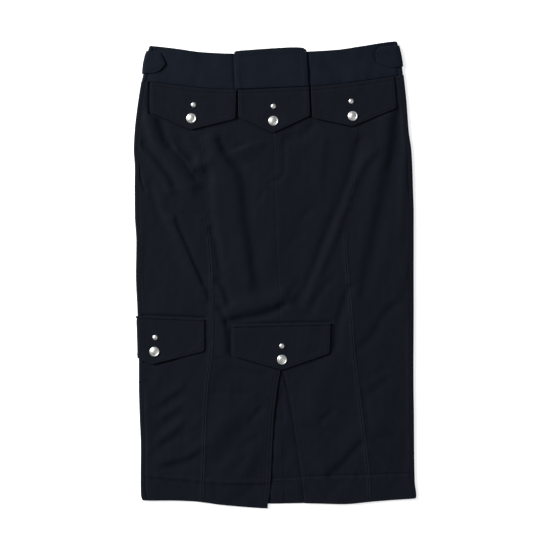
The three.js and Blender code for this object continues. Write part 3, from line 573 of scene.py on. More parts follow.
def cloth_wall(name, over, under, grain, rubbed, material):
    """A closed wall between two grids of points in mm: quads over, quads under turned round, and a rim of
    quads on all four sides. It takes the place of the named solid. grain is the cloth's map in mm, rubbed
    how worn each point is."""
    rows, columns = over.shape[:2]
    count = rows * columns
    index = np.arange(count).reshape(rows, columns)
    first, beside, across, below = index[:-1, :-1], index[:-1, 1:], index[1:, 1:], index[1:, :-1]
    top = np.stack([first, below, across, beside], -1).reshape(-1, 4)
    low = np.stack([first, beside, across, below], -1).reshape(-1, 4) + count
    ring = np.concatenate([index[0, :-1], index[:-1, -1], index[-1, :0:-1], index[:0:-1, 0]])
    onward = np.roll(ring, -1)
    rim = np.stack([ring, onward, onward + count, ring + count], -1)
    faces = np.concatenate([top, low, rim])
    points = np.concatenate([over.reshape(-1, 3), under.reshape(-1, 3)]) * MM
    corner = points[faces]
    spread = np.cross(corner[:, 1] - corner[:, 0], corner[:, 2] - corner[:, 0])
    spread = spread + np.cross(corner[:, 2] - corner[:, 0], corner[:, 3] - corner[:, 0])
    if (corner[:, 0] * spread).sum() < 0:
        faces = faces[:, ::-1]
    mesh = bpy.data.meshes.new(name + "_cloth")
    mesh.vertices.add(len(points))
    mesh.vertices.foreach_set("co", points.ravel().astype(np.float32))
    mesh.loops.add(faces.size)
    mesh.loops.foreach_set("vertex_index", faces.ravel().astype(np.int32))
    mesh.polygons.add(len(faces))
    mesh.polygons.foreach_set("loop_start", np.arange(0, faces.size, 4, dtype=np.int32))
    mesh.polygons.foreach_set("use_smooth", np.ones(len(faces), bool))
    mesh.update(calc_edges=True)
    layer = mesh.uv_layers.new(name="grain")
    both = np.concatenate([grain.reshape(-1, 2) * MM] * 2)
    layer.data.foreach_set("uv", both[faces.ravel()].ravel().astype(np.float32))
    wear = mesh.attributes.new("rubbed", "FLOAT", "POINT")
    wear.data.foreach_set("value", np.concatenate([rubbed.ravel()] * 2).astype(np.float32))
    mesh.materials.append(material)
    piece = bpy.data.objects.new(name + "_cloth", mesh)
    bpy.context.scene.collection.objects.link(piece)
    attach(piece, "root")
    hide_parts(name)
    return piece


def even_shares(length, step):
    """Shares between 0 and 1, both left out, that part a length into even steps."""
    return np.linspace(0, 1, max(round(length / step), 2) + 1)[1:-1]


def spread_rows(top, low, off_top, off_low, down):
    """The rows of y between two edges: some at given distances below the top one, some at given distances
    above the low one, and those between at even shares, down, of what is left."""
    off_top, off_low = np.asarray(off_top, float), np.asarray(off_low, float)
    last = len(top) - len(off_low)
    start, end = (top - off_top[-1])[len(off_top):last], (low + off_low[-1])[len(off_top):last]
    return np.concatenate([top[:len(off_top)] - off_top[:, None], start + down[:, None] * (end - start),
                           low[last:] + off_low[::-1][:, None]], 0)


def grid_between(edges, near, step, middle):
    """The x and y of a grid between four edges: left and right are functions of y, top and low of x. near
    holds the distances from those edges at which the grid keeps its own lines; the rest are even, one
    step apart. Six rounds settle x and y, since each edge depends on the other. middle is a point
    inside."""
    left, right, top, low = edges
    off_left, off_right, off_top, off_low = (np.asarray(distances, float) for distances in near)
    width = float(right(middle[1]) - left(middle[1])) - off_left[-1] - off_right[-1]
    height = float(top(middle[0]) - low(middle[0])) - off_top[-1] - off_low[-1]
    across, down = even_shares(width, step[0]), even_shares(height, step[1])
    shape = (len(off_top) + len(down) + len(off_low), len(off_left) + len(across) + len(off_right))
    y = np.full(shape, float(middle[1]))
    for _ in range(6):
        x = -spread_rows(-left(y).T, -right(y).T, off_left, off_right, across).T
        y = spread_rows(top(x), low(x), off_top, off_low, down)
    return x, y


# The row of stitching over the hem: x, y. The steps are the distances from an edge at which a grid has
# lines.
HEM_LINE = np.array([(-205, -302.0), (-140, -308.0), (-80, -313.5), (-10, -314.0), (44, -304.5),
                     (140, -301.5), (212, -299.0)])
hem_line = smooth_line(HEM_LINE, 0, 1)
HEM_DEPTH = 37.0
SEAM_ROW = 1.5
SLIT_ROWS = (3, 8, 12.5)
SEAM_STEPS = [0, 0.25, 0.6, 1.0, 1.5, 2.0, 2.6, 3.3, 4.1, 5.0, 6.4, 8.4]
SLIT_STEPS = [0, 0.2, 0.5, 1.0, 1.8, 2.6, 3.0, 3.4, 4.4, 6.0, 7.4, 8.0, 8.6, 10.0, 11.6, 12.5, 13.4, 15.5]
HEM_STEPS = [0, 0.2, 0.5, 1.0, 1.8, 3.2, 6.0, 9.2, 12.6, 16.0, 19.4, 22.8, 26.2, 29.4,
             *np.arange(31.5, 48, 1.1)]
END_STEPS = [0, 1.5]
PANEL_STEP = (1.9, 1.9)
THIN = 0.9
LOWEST_FACE = 2.5
POCKET_MOUTHS = [[(-204.5, 166), (-202.5, 150), (-199, 138), (-195.5, 127)],
                 [(201, 188), (202, 158), (202, 128)]]
MOUTH_DIP = 1.5
MOUTH_REACH = 2.2
# How far a panel's left and right edges roll down into a plain seam: the allowances lie to the right of
# it, so only the edge on its left, which is a panel's right one, rolls far.
LEFT_ROLL = 0.1
RIGHT_ROLL = 0.5


def princess_relief(away, y, seed):
    """The cloth beside a princess seam, by distance from it. It rolls down into the seam and stands up as
    a narrow welt over the pressed allowance, higher below the hip, with a row of stitching close to the
    seam."""
    below = 0.25 + 0.75 * smoothstep(90, 20, y)
    dip = (0.2 + 0.5 * below) * fading(away, 0.4)
    welt = 0.6 * below * (1 - smoothstep(1.6, 4.4, away))
    groove = 0.16 * below * bell(away - SEAM_ROW, 0.45)
    return welt - dip - groove + 0.24 * ripple(y, seed, 9, 24) * bell(away, 8)


def plain_relief(away, y, seed, roll):
    """The cloth beside a plain pressed seam, by distance from it: rolled down into the seam, and
    puckered."""
    return 0.14 * ripple(y, seed, 9, 26) * bell(away, 6) - roll * fading(away, 1.1)


def slit_relief(away, y, seed):
    """The slit's faced edge, by distance from it: rolled, with its rows of stitching, and gently wavy."""
    rolled = 0.4 * (1 - smoothstep(12.5, 16.5, away)) - 0.35 * fading(away, 0.5)
    grooves = 0.34 * sum(bell(away - row, 0.7) for row in SLIT_ROWS)
    return rolled - grooves + 0.3 * ripple(y, seed, 15, 40) * bell(away, 13)


def mouth_relief(x, y):
    """The in-seam pocket mouths gape a little: a narrow dip along each, curving in at its lower end."""
    return -MOUTH_DIP * sum(bell(inset_from(mouth, x, y), MOUTH_REACH) for mouth in POCKET_MOUTHS)


def hem_relief(x, y, seed):
    """The turned-up hem. On the left the cloth bulges above the stitch line and drops at it; on the right
    the line is a groove over the raised doubled cloth. The hem ropes a little on the slant and is rolled
    under at its edge."""
    over_line = y - hem_line(x)
    to_right = smoothstep(-30, 30, x)
    left = 0.9 * bell(over_line - 3.2, 2.8) - 0.7 * (1 - smoothstep(-1.2, 1.2, over_line))
    right = 0.5 * (1 - smoothstep(-1.5, 1.0, over_line)) - 0.9 * bell(over_line - 1.6, 1.8)
    ropes = 0.5 * ripple(x + 0.8 * y, seed, 14, 44) * bell(over_line + 14, 17)
    pull = 0.3 * ripple(x, seed + 7, 9, 26) * bell(over_line, 7)
    return left * (1 - to_right) + right * to_right - 0.9 * fading(y - hem_front(x), 0.5) + ropes + pull


def make_panel(name, left, right, kinds, seed, middle):
    """One front panel in its solid's place. kinds say what its left and right edges are. Returns the
    panel and its face: the height at any point, which the stitching follows."""

    def clear_left(y):
        return left(y) + HALF_GAP

    def clear_right(y):
        return right(y) - HALF_GAP

    def edge_relief(kind, away, y, edge_seed, roll):
        away = np.maximum(away, 0)
        if kind == "princess":
            return princess_relief(away, y, edge_seed)
        plain = plain_relief(away, y, edge_seed, roll)
        if kind != "slit":
            return plain
        at_slit = smoothstep(SLIT_TOP + 8, SLIT_TOP - 4, y)
        return (1 - at_slit) * plain + at_slit * slit_relief(away, y, edge_seed)

    def face(x, y):
        z = body_level(x, y) - pressed_dip(x, y) + hem_relief(x, y, seed) + mouth_relief(x, y)
        z += edge_relief(kinds[0], x - clear_left(y), y, seed + 1, LEFT_ROLL)
        z += edge_relief(kinds[1], clear_right(y) - x, y, seed + 2, RIGHT_ROLL)
        return np.maximum(z, LOWEST_FACE)

    def top(x):
        return waist_seam(x) - HALF_GAP

    steps = [SLIT_STEPS if kind == "slit" else SEAM_STEPS for kind in kinds]
    x, y = grid_between((clear_left, clear_right, top, hem_front), (*steps, END_STEPS, HEM_STEPS), PANEL_STEP,
                        middle)
    rubbed = 0.6 * fading(y - hem_front(x), 2.0)
    for away in (x - clear_left(y), clear_right(y) - x):
        rubbed = np.maximum(rubbed, 0.8 * bell(away - 0.9, 1.0))
    over = np.stack([x, y, face(x, y)], -1)
    return cloth_wall(name, over, over - (0, 0, THIN), over[..., :2], rubbed, panel_twill), face


def left_seam(y):
    return left_fold(y) + SIDE_SEAM


def right_seam(y):
    return right_fold(y) - SIDE_SEAM


side_l, side_l_face = make_panel("front_side_l", left_seam, seam_l, ("side", "princess"), 31, (-150, 0))
centre_l, centre_l_face = make_panel("front_centre_l", seam_l, mid_l, ("princess", "slit"), 41, (-50, 0))
centre_r, centre_r_face = make_panel("front_centre_r", mid_r, seam_r, ("slit", "princess"), 51, (60, 0))
side_r, side_r_face = make_panel("front_side_r", seam_r, right_seam, ("princess", "side"), 61, (155, 0))

# The back panels
# Two panels of the same twill, from the centre back seam flat under the garment and round the side fold to
# the side seam, 7 mm in on the front. Through the slit shows their wrong side with the turned-up hem.
BACK_SEAM_TOP = (345, -2.6)
BACK_SEAM_LOW = (-345, 13.0)
BACK_HEIGHT = FRONT_LEVEL - 0.1
BACK_RUN = 580
BACK_WAY = 215
BACK_STEP = (3.6, 3.6)
BACK_HEM_ROWS = (28, 32, 38)
BACK_HEM_STEPS = [0, 0.3, 0.8, 1.6, 3.2, 8.0, 14.0, 20.0, 26.0, 27.1, 28, 28.9, 30, 31.1, 32, 32.9, 34.6,
                  36.2, 37.0, 37.6, 38.3, 39.2, 41.0]
BACK_SEAM_STEPS = [0, 0.5, 1.2, 2.4, 4.0, 5.2, 7.0]
# The back's troughs in mm: the rise off the board, the reach and the line.
BACK_FOLDS = [
    (0.7, 9, [(-150, 250), (-120, 190), (-100, 150)]), (0.6, 8, [(-60, 220), (-90, 140), (-110, 70)]),
    (0.7, 10, [(80, 230), (110, 160), (120, 90)]), (0.6, 8, [(150, 180), (110, 120), (60, 60)]),
    (0.6, 9, [(-130, 40), (-80, 0), (-20, -20)]), (0.7, 9, [(130, 20), (90, -30), (30, -60)]),
    (0.6, 12, [(-150, -120), (-120, -180), (-110, -240)]), (0.6, 11, [(100, -150), (120, -210), (150, -250)]),
    (0.9, 9, [(8, -150), (18, -190), (30, -225)]), (0.8, 8, [(22, -214), (10, -240), (6, -270)]),
    (0.6, 7, [(34, -262), (24, -284), (16, -298)]),
]


def back_seam(y):
    """The x of the centre back seam, which leans a little to the right on its way down."""
    (top_y, top_x), (low_y, low_x) = BACK_SEAM_TOP, BACK_SEAM_LOW
    return top_x + (low_x - top_x) * (np.clip(y, low_y, top_y) - top_y) / (low_y - top_y)


def round_fold(side, edge, height, along, outward):
    """A place on the way round a side fold, in mm. along is negative on top, 0 where the turn starts, and
    goes on below after the half round. outward is how far the place is off the outer face."""
    radius = height / 2
    turn_x = edge - side * radius
    angle = np.clip(along / radius, 0, math.pi)
    bend = radius + outward
    past = np.maximum(along - math.pi * radius, 0)
    x = turn_x + side * (np.minimum(along, 0) + bend * np.sin(angle) - past)
    return x, radius + bend * np.cos(angle)


def round_places(side, edge, height, along, y, outward):
    """The same places with their y, as points."""
    x, z = round_fold(side, edge, height, along, outward)
    return np.stack([x, y, z], -1)


def back_lift(x, y):
    """How far the back's outer face is off the board: troughs of its own, pressed flat at the edges."""
    total = np.zeros_like(x)
    for rise, reach, line in BACK_FOLDS:
        total += rise * bell(inset_from(line, x, y), reach)
    total += 0.18 + undulation(x, y, 60, 0.15, 77)
    return np.clip(total, 0, 1.2) * smoothstep(2, 14, np.minimum(x - left_fold(y), right_fold(y) - x))


def make_back(name, side, seed):
    """A back panel. Its columns run from the side seam on top, round the fold, to the centre back."""
    fold = left_fold if side < 0 else right_fold
    height = BACK_HEIGHT + (RIGHT_EDGE_RISE if side > 0 else 0)
    radius = height / 2
    strip = SIDE_SEAM - HALF_GAP - radius
    turned_at = strip + math.pi * radius
    first = np.concatenate([[0, 0.4, 1.0, 2.0, 3.0, strip], strip + np.linspace(0, math.pi * radius, 11)[1:]])
    last = np.array(BACK_SEAM_STEPS)
    inner = even_shares(BACK_WAY - first[-1] - last[-1], BACK_STEP[0])
    down = even_shares(BACK_RUN, BACK_STEP[1])
    rows, columns = len(END_STEPS) + len(down) + len(BACK_HEM_STEPS), len(first) + len(inner) + len(last)

    def way_to_seam(y):
        return turned_at + np.abs(back_seam(y) - (fold(y) - side * radius))

    y = np.tile(np.linspace(285, -340, rows)[:, None], (1, columns))
    for _ in range(6):
        end = way_to_seam(y)
        spread = end[:, len(first):-len(last)] - last[-1] - first[-1]
        way = np.concatenate([np.tile(first, (rows, 1)), first[-1] + inner * spread,
                              end[:, -len(last):] - last[::-1]], 1)
        x = round_fold(side, fold(y), height, way - strip, 0 * way)[0]
        y = spread_rows(waist_seam(x) - HALF_GAP, hem_back(x), END_STEPS, BACK_HEM_STEPS, down)
    above = y - hem_back(x)
    to_centre = way_to_seam(y) - way
    below = smoothstep(turned_at, turned_at + 8, way)
    lift = back_lift(x, y) * below
    seam = 0.35 * fading(to_centre, 0.9) + 0.18 * bell(to_centre - 4, 0.7)
    outer = -(lift + seam * below) - 0.12 * bell(above - HEM_DEPTH, 1.0) * below
    in_slit = smoothstep(SLIT_TOP + 2, SLIT_TOP - 20, y)
    in_slit = in_slit * smoothstep(0.5, 3, x - mid_l(y)) * smoothstep(0.5, 4.5, slit_r(y) - x)
    ledge = 0.75 * (1 - smoothstep(HEM_DEPTH - 0.8, HEM_DEPTH + 0.3, above))
    sewn = 0.22 * ripple(x, seed + 3, 12, 30) * bell(above - HEM_DEPTH + 2, 7)
    sewn -= 0.5 * sum(bell(above - row, 0.8) for row in BACK_HEM_ROWS)
    wrong_side = lift + in_slit * (1.2 + 0.25 * ripple(y + 0.4 * x, seed, 22, 60))
    wrong_side += (ledge + sewn * in_slit + 0.1) * below
    inside = -(np.maximum(wrong_side, -outer) + THIN)
    rolled = 0.35 * fading(above, 0.4)
    rubbed = np.maximum(0.5 * bell(way - strip - radius * 0.9, 2.2), 0.5 * fading(above, 1.5))
    outer = outer - rolled
    inside = np.minimum(inside + rolled, outer - 0.2)
    return cloth_wall(name, round_places(side, fold(y), height, way - strip, y, outer),
                      round_places(side, fold(y), height, way - strip, y, inside),
                      np.stack([-side * way, y], -1), rubbed, panel_twill)


back_l = make_back("back_panel_l", -1, 71)
back_r = make_back("back_panel_r", 1, 81)

# The waistband
# One straight band of the same twill over interlining, pressed crisp: a front piece between the side
# seams and two back halves round the side folds. Its lower seam swallows the body and the flaps.
BAND_FACE = 6.6
BAND_THICK = 1.9
BAND_ROW = 3.0
BAND_TOP_ROW = 3.2
BAND_MIDDLE = (-5.0, 308.0)
BAND_LEVEL = 320.0
# Lines on which the band is pressed down: at the centre tab's sides and round the two side tabs.
BAND_PRESSED = [
    [(-62.6, 334), (-59.8, 280)], [(48.6, 336), (51.8, 282)],
    [(-190, 336.8), (-176, 336.2), (-170.5, 333), (-163.2, 317)],
    [(176, 343.6), (163, 343.4), (155.8, 341.6), (150.6, 335), (150.2, 327), (152.6, 320.4), (163, 313),
     (174, 308.8)],
]
# The band's side folds in mm: y, the left one, the right one.
BAND_SIDES = np.array([
    (290, -200.8, 193.6), (300, -198.2, 192.4), (312, -197.3, 190.9), (328, -194.3, 188.7),
    (338, -190.5, 186.3), (351, -186.0, 183.2),
])
EDGE_STEPS = [0, 0.12, 0.35, 0.7, 1.2, 1.9, 2.6, 3.3, 4.4, 6.0, 7.0, 8.2]
SHORT_STEPS = [0, 0.12, 0.35, 0.7, 1.2, 2.0, 3.2]
BAND_BACK_STEP = (2.2, 2.6)
BAND_STEP = (1.8, 1.8)
band_left, band_right = (smooth_line(BAND_SIDES, 0, k) for k in (1, 2))
band_twill = cloth_material("band_twill", BAND_NAVY, NAVY_WORN, roughness=0.78)


def band_left_seam(y):
    return band_left(y) + SIDE_SEAM + HALF_GAP


def band_right_seam(y):
    return band_right(y) - SIDE_SEAM - HALF_GAP


def band_low(x):
    return waist_seam(x) + HALF_GAP


def turned(inset, radius=0.9):
    """0 at a turned edge, rising on a quarter round to 1 at radius from it."""
    return np.sqrt(1 - (1 - np.clip(inset / radius, 0, 1)) ** 2)


def band_soft(x, y):
    """The band's own unevenness: broad soft dents, small puckers over the seam, and the grooves of its
    stitching and round the tabs."""
    above, below = y - band_low(x), waist_top(x) - y
    dents = undulation(x, y, 46, 0.42, 201, tall=0.8) + undulation(x, y, 19, 0.16, 202)
    dents -= 1.4 * sum(bell(inset_from(edge, x, y), 1.9) for edge in BAND_PRESSED)
    pull = 0.16 * ripple(x, 203, 9, 26) * (bell(above, 7) + 0.7 * bell(below, 5))
    seam = 1.3 * fading(above, 0.9) + 0.22 * bell(above - BAND_ROW, 0.6)
    return dents + pull - seam - 0.2 * bell(below - BAND_TOP_ROW, 0.6)


x, y = grid_between((band_left_seam, band_right_seam, waist_top, band_low),
                    (SHORT_STEPS, SHORT_STEPS, EDGE_STEPS, EDGE_STEPS), BAND_STEP, BAND_MIDDLE)
side_dip = fading(x - band_left_seam(y), 0.7) + fading(band_right_seam(y) - x, 0.7)
crown = turned(waist_top(x) - y)
over = np.stack([x, y, BAND_FACE + band_soft(x, y) - 0.9 * (1 - crown) - 0.8 * side_dip], -1)
lining = np.minimum(BAND_FACE - BAND_THICK + 0.85 * (1 - crown), over[..., 2] - 0.05)
rubbed = np.maximum(0.7 * bell(waist_top(x) - y - 0.4, 1.1), 0.5 * side_dip)
band_front = cloth_wall("waistband_front", over, np.stack([x, y, lining], -1), over[..., :2], rubbed,
                        band_twill)


def wrap_grid(fold, side, ends, edges, near, step, at_x):
    """A grid round one of the band's side folds. Its columns run along the way, from one end to the
    other, and its rows between two edges that are functions of x. at_x is where their distance is
    measured. Returns the way and y."""
    top, low = edges
    off_first, off_last, off_top, off_low = (np.asarray(distances, float) for distances in near)
    start, end = ends[0] + off_first[-1], ends[1] - off_last[-1]
    way = np.concatenate([ends[0] + off_first, start + even_shares(end - start, step[0]) * (end - start),
                          ends[1] - off_last[::-1]])
    down = even_shares(top(at_x) - low(at_x) - off_top[-1] - off_low[-1], step[1])
    way = np.tile(way, (len(off_top) + len(down) + len(off_low), 1))
    y = np.full(way.shape, BAND_LEVEL)
    for _ in range(6):
        x = round_fold(side, fold(y), BAND_FACE, way, 0 * way)[0]
        y = spread_rows(top(x), low(x), off_top, off_low, down)
    return way, y


def make_band_back(name, side, seed):
    """Half of the waistband's back, from the side seam on top round the fold to the centre back."""
    fold = band_left if side < 0 else band_right
    radius = BAND_FACE / 2
    first = -(SIDE_SEAM - HALF_GAP - radius)

    def way_to_seam(y):
        return math.pi * radius + np.abs(fold(y) - side * radius - back_seam(y) - side * HALF_GAP)

    last = float(way_to_seam(BAND_LEVEL))
    way, y = wrap_grid(fold, side, (first, last), (waist_top, band_low),
                       (SHORT_STEPS, SHORT_STEPS, EDGE_STEPS, EDGE_STEPS), BAND_BACK_STEP, BAND_MIDDLE[0])
    way = first + (way - first) * (way_to_seam(y) - first) / (last - first)
    x = round_fold(side, fold(y), BAND_FACE, way, 0 * way)[0]
    crown = turned(waist_top(x) - y)
    above = y - band_low(x)
    seam = 0.8 * fading(way - first, 0.7) + 0.7 * fading(way.max(1, keepdims=True) - way, 0.7)
    soft = 0.2 * (1 + undulation(way, y, 40, 0.5, seed)) * smoothstep(8, 20, way)
    outer = -(0.9 * (1 - crown) + seam + soft + 1.2 * fading(above, 0.9) + 0.25 * bell(above - BAND_ROW, 0.6))
    outer = np.minimum(outer, 0) * (0.35 + 0.65 * (1 - smoothstep(-1, 3, way)))
    inside = np.minimum(-BAND_THICK + 0.8 * (1 - crown), outer - 0.05)
    rubbed = np.maximum(0.7 * bell(waist_top(x) - y - 0.4, 1.1), 0.55 * bell(way - 2.5, 3.0))
    return cloth_wall(name, round_places(side, fold(y), BAND_FACE, way, y, outer),
                      round_places(side, fold(y), BAND_FACE, way, y, inside), np.stack([-side * way, y], -1),
                      rubbed, band_twill)


band_back_l = make_band_back("waistband_back_l", -1, 211)
band_back_r = make_band_back("waistband_back_r", 1, 212)

# The tabs of the waistband
# A wide plain tab stands over the middle of the band, caught in its lower seam. A pointed tab on the left
# and a rounded one on the right come round the side folds. Each is two layers, turned and pressed.
TAB_THICK = 1.6
TAB_CLEAR = 0.35


def turned_layers(inset, clear, thick, rows=(2.4,), full=0.3, edge=None):
    """The under and over heights of a turned piece of two layers, by distance from its edge: the edge is
    a half round unless its share of the height is given, the part over the allowance is a little fuller,
    and each row of stitching pulls in a groove."""
    crown = turned(inset, thick / 2) if edge is None else edge
    groove = sum(bell(inset - row, 0.65) for row in rows)
    fuller = full * (1 - smoothstep(6.5, 9.5, inset)) * smoothstep(0, 1.5, inset)
    over = clear + thick / 2 + (thick / 2 + fuller) * crown - 0.28 * groove
    return clear + (thick / 2 - 0.04) * (1 - crown), over


# The centre tab in mm: its top edge, how far each side leans to the right on its way down, its lower
# corners.
CENTRE_TAB_TOP = np.array([(-61.2, 333.6), (-57.5, 335.6), (-37.5, 337.4), (0, 340.0), (30, 341.3),
                           (41, 340.6), (47.2, 337.0)])
CENTRE_TAB_LEAN = (2.8, 3.2)
CENTRE_TAB_CORNERS = ((-58.4, 280.0), (50.4, 281.0))
CENTRE_TAB_MIDDLE = (-5, 310)
CENTRE_TAB_SIDE_TOP = 336
CENTRE_TAB_SIDE = 56
CENTRE_TAB_LOW_STEPS = [0, 0.5, 1.2, 2.4]
centre_tab_top = smooth_line(CENTRE_TAB_TOP, 0, 1)


def down_centre_tab(y):
    """0 at the top of the tab's sides, 1 at their lower end."""
    return np.clip((CENTRE_TAB_SIDE_TOP - y) / CENTRE_TAB_SIDE, 0, 1)


def centre_tab_left(y):
    return CENTRE_TAB_TOP[0, 0] + CENTRE_TAB_LEAN[0] * down_centre_tab(y)


def centre_tab_right(y):
    return CENTRE_TAB_TOP[-1, 0] + CENTRE_TAB_LEAN[1] * down_centre_tab(y)


def centre_tab_low(x):
    return waist_seam(x) + 0.3


x, y = grid_between((centre_tab_left, centre_tab_right, centre_tab_top, centre_tab_low),
                    (EDGE_STEPS, EDGE_STEPS, EDGE_STEPS, CENTRE_TAB_LOW_STEPS), BAND_STEP, CENTRE_TAB_MIDDLE)
along = np.linspace(CENTRE_TAB_TOP[0, 0], CENTRE_TAB_TOP[-1, 0], 19)
inset = inset_from([CENTRE_TAB_CORNERS[0], *zip(along, centre_tab_top(along)), CENTRE_TAB_CORNERS[1]], x, y)
under, over = turned_layers(inset, BAND_FACE + 0.15 + TAB_CLEAR, TAB_THICK)
soft = undulation(x, y, 44, 0.28, 221, tall=1.2) + undulation(x, y, 17, 0.07, 222)
soft = (soft - 0.35 * bell(x + 43, 9) * bell(y - 300, 24)) * smoothstep(0, 8, inset)
sink = -0.9 * fading(y - centre_tab_low(x), 1.2)
centre_tab = cloth_wall("centre_tab", np.stack([x, y, over + soft + sink], -1),
                        np.stack([x, y, under + 0.5 * soft + 0.6 * sink], -1), np.stack([x, y], -1),
                        0.8 * bell(inset - 0.5, 1.1), band_twill)

# The side tabs in mm, from the free end to the side fold: x, the lower edge, the upper edge.
TAB_LEFT = np.array([(-164.4, 315.2, 317.2), (-168, 311.3, 325), (-172, 306.8, 332.4), (-177, 304, 334.7),
                     (-184, 302.2, 335.3), (-200, 302.1, 337.2)])
TAB_RIGHT = np.array([(151.4, 326, 331), (152.6, 322.3, 335.8), (157, 318, 340.6), (164, 314.6, 342),
                      (174, 310.2, 343), (192, 313.6, 344.6)])
TAB_STEP = (1.8, 1.8)
TAB_INWARD = 20


def landing(height, outward):
    """Where a layer that lies this far off a fold's outer face reaches the board, as a way from the
    turn."""
    radius = height / 2
    return radius * (math.pi / 2 + math.asin((radius - 0.05) / (radius + outward)))


def make_side_tab(name, side, table, seed):
    """A side tab, from its free end over the band and round the fold to the board."""
    fold = band_left if side < 0 else band_right
    low, high = smooth_line(table, 0, 1), smooth_line(table, 0, 2)
    radius = BAND_FACE / 2
    free = table[0, 0]
    ends = (-abs(fold(BAND_LEVEL) - side * radius - free), landing(BAND_FACE, TAB_CLEAR + TAB_THICK))
    way, y = wrap_grid(fold, side, ends, (high, low), (EDGE_STEPS, END_STEPS, SHORT_STEPS, SHORT_STEPS),
                       TAB_STEP, free + side * TAB_INWARD)
    knots = free + side * np.linspace(0, 1, 15) ** 1.6 * abs(table[-1, 0] - free)
    outline = [*zip(knots[::-1], high(knots[::-1])), *zip(knots, low(knots))]
    flat_x = fold(y) - side * radius + side * way
    inset = inset_from(outline, flat_x, y)
    under, over = turned_layers(inset, TAB_CLEAR, TAB_THICK, full=0.15)
    puff = 0.35 * bell(inset - 9, 7) + undulation(flat_x, y, 18, 0.18, seed)
    over = over + puff * smoothstep(0.5, 4, inset) * (1 - smoothstep(-6, 0, way))
    return cloth_wall(name, round_places(side, fold(y), BAND_FACE, way, y, over),
                      round_places(side, fold(y), BAND_FACE, way, y, under), np.stack([-side * way, y], -1),
                      0.9 * bell(inset - 0.5, 1.2), band_twill)


tab_l = make_side_tab("side_tab_l", -1, TAB_LEFT, 231)
tab_r = make_side_tab("side_tab_r", 1, TAB_RIGHT, 232)

# The pocket flaps
# Three flaps hang from the waist seam, one lies at the left hip round the side fold and one over the slit's
# top. Each is two layers turned through and pressed, pointed, with two rows of stitching near its edge.
FLAP_THICK = 1.6
FLAP_CLEAR = 0.45
CORNER = 4.0
FLAP_ROWS = (2.4, 7.2)
SEAM_GROOVE = 6.6
SEAM_TOP_ROW = 6.8
FOLD_ROW = 4.2
TOP_ROUND = 1.1
SNAP_REACH = 13
FLAP_STEPS = [0, 0.12, 0.4, 0.8, 1.3, 1.9, 2.4, 2.9, 3.8, 5.2, 6.4, 7.2, 8.0, 9.4]
FLAP_STEP = (2.2, 2.2)
# How wide a flap's edge is turned: crisply all round, and over a broad, low slope along its lower left
# edge.
CRISP_EDGE = 0.4
SOFT_EDGE = 2.6
SOFT_SHARE = 0.2
# A row is a flap: its top edge's left and right x, then its left corner, its point and its right corner.
WAIST_FLAPS = {
    "flap_waist_l": ((-186.0, -57.8), ((-187.0, 243.8), (-126.0, 217.5), (-59.3, 234.0))),
    "flap_waist_c": ((-55.5, 51.0), ((-54.8, 237.0), (-3.0, 213.0), (52.5, 238.5))),
    "flap_waist_r": ((54.0, 178.5), ((55.5, 235.5), (116.3, 222.8), (182.0, 250.0))),
}
# The places of the snaps: the cap's x and y, then the rivet's.
SNAP_PLACES = {
    "waist_l": (-125.3, 234.8, -122.0, 255.0), "waist_c": (-2.3, 231.0, -2.3, 252.8),
    "waist_r": (116.6, 238.2, 114.3, 260.3), "low_side": (-180.5, -114.9, -179.6, -93.6),
    "low_centre": (10.7, -126.9, 10.4, -106.4),
}


def corner_rise(inset):
    """How far the quarter round at a corner lifts a flap's lower edge, by distance from the flap's side."""
    inset = np.clip(inset, 0, CORNER)
    return CORNER - np.sqrt(np.maximum(CORNER ** 2 - (CORNER - inset) ** 2, 0))


def corner_turn():
    """The distances from a flap's side at which its outline has points on a corner's quarter round."""
    return CORNER * (1 - np.cos(np.linspace(0, math.pi / 2, 6)))


def flap_low_edge(corners, x):
    """A pointed lower edge: two straight runs, with quarter rounds at the two outer corners."""
    (left, left_y), (tip, tip_y), (right, right_y) = corners
    straight = np.where(x < tip, tip_y + (left_y - tip_y) * (tip - x) / (tip - left),
                        tip_y + (right_y - tip_y) * (x - tip) / (right - tip))
    return straight + corner_rise(np.minimum(x - left, right - x))


def flap_outline(top_left, top_right, corners):
    """A flap's free edge from its top left round its point to its top right."""
    (left, _), (tip, tip_y), (right, _) = corners
    first, last = left + corner_turn(), right - corner_turn()[::-1]
    return [top_left, *zip(first, flap_low_edge(corners, first)), (tip, tip_y),
            *zip(last, flap_low_edge(corners, last)), top_right]


def flap_relief(x, y, inset, snap, seed):
    """A flap's own unevenness: soft dents, puckers along the stitching, and the snap pulled into the
    cloth."""
    dents = undulation(x, y, 38, 0.3, seed) + undulation(x, y, 14, 0.08, seed + 1)
    pull = 0.14 * ripple(x + y, seed + 2, 8, 20) * bell(inset - 5, 4)
    snapped = 0.45 * bell(np.hypot(x - snap[0], y - snap[1]), SNAP_REACH)
    return (dents - snapped) * smoothstep(0, 9, inset) + pull


def folded_top(over, from_top):
    """The outer face of a stitched-down flap, which folds over its own seam: rounded at its very top, a
    narrow roll under it, and a deep groove at the row of stitching."""
    over = over - (FLAP_THICK / 2 + 0.2) * (1 - turned(from_top, TOP_ROUND))
    return over + 0.55 * (1 - smoothstep(2.6, 3.6, from_top)) - 0.75 * bell(from_top - FOLD_ROW, 0.9)


def flap_lift(x, down, seed):
    """How far a flap's underside is off the cloth: hardly at its top, more at its free edge, and
    unevenly."""
    return FLAP_CLEAR + 0.5 * down ** 2 * (1 + 0.6 * ripple(x, seed + 5, 30, 90))


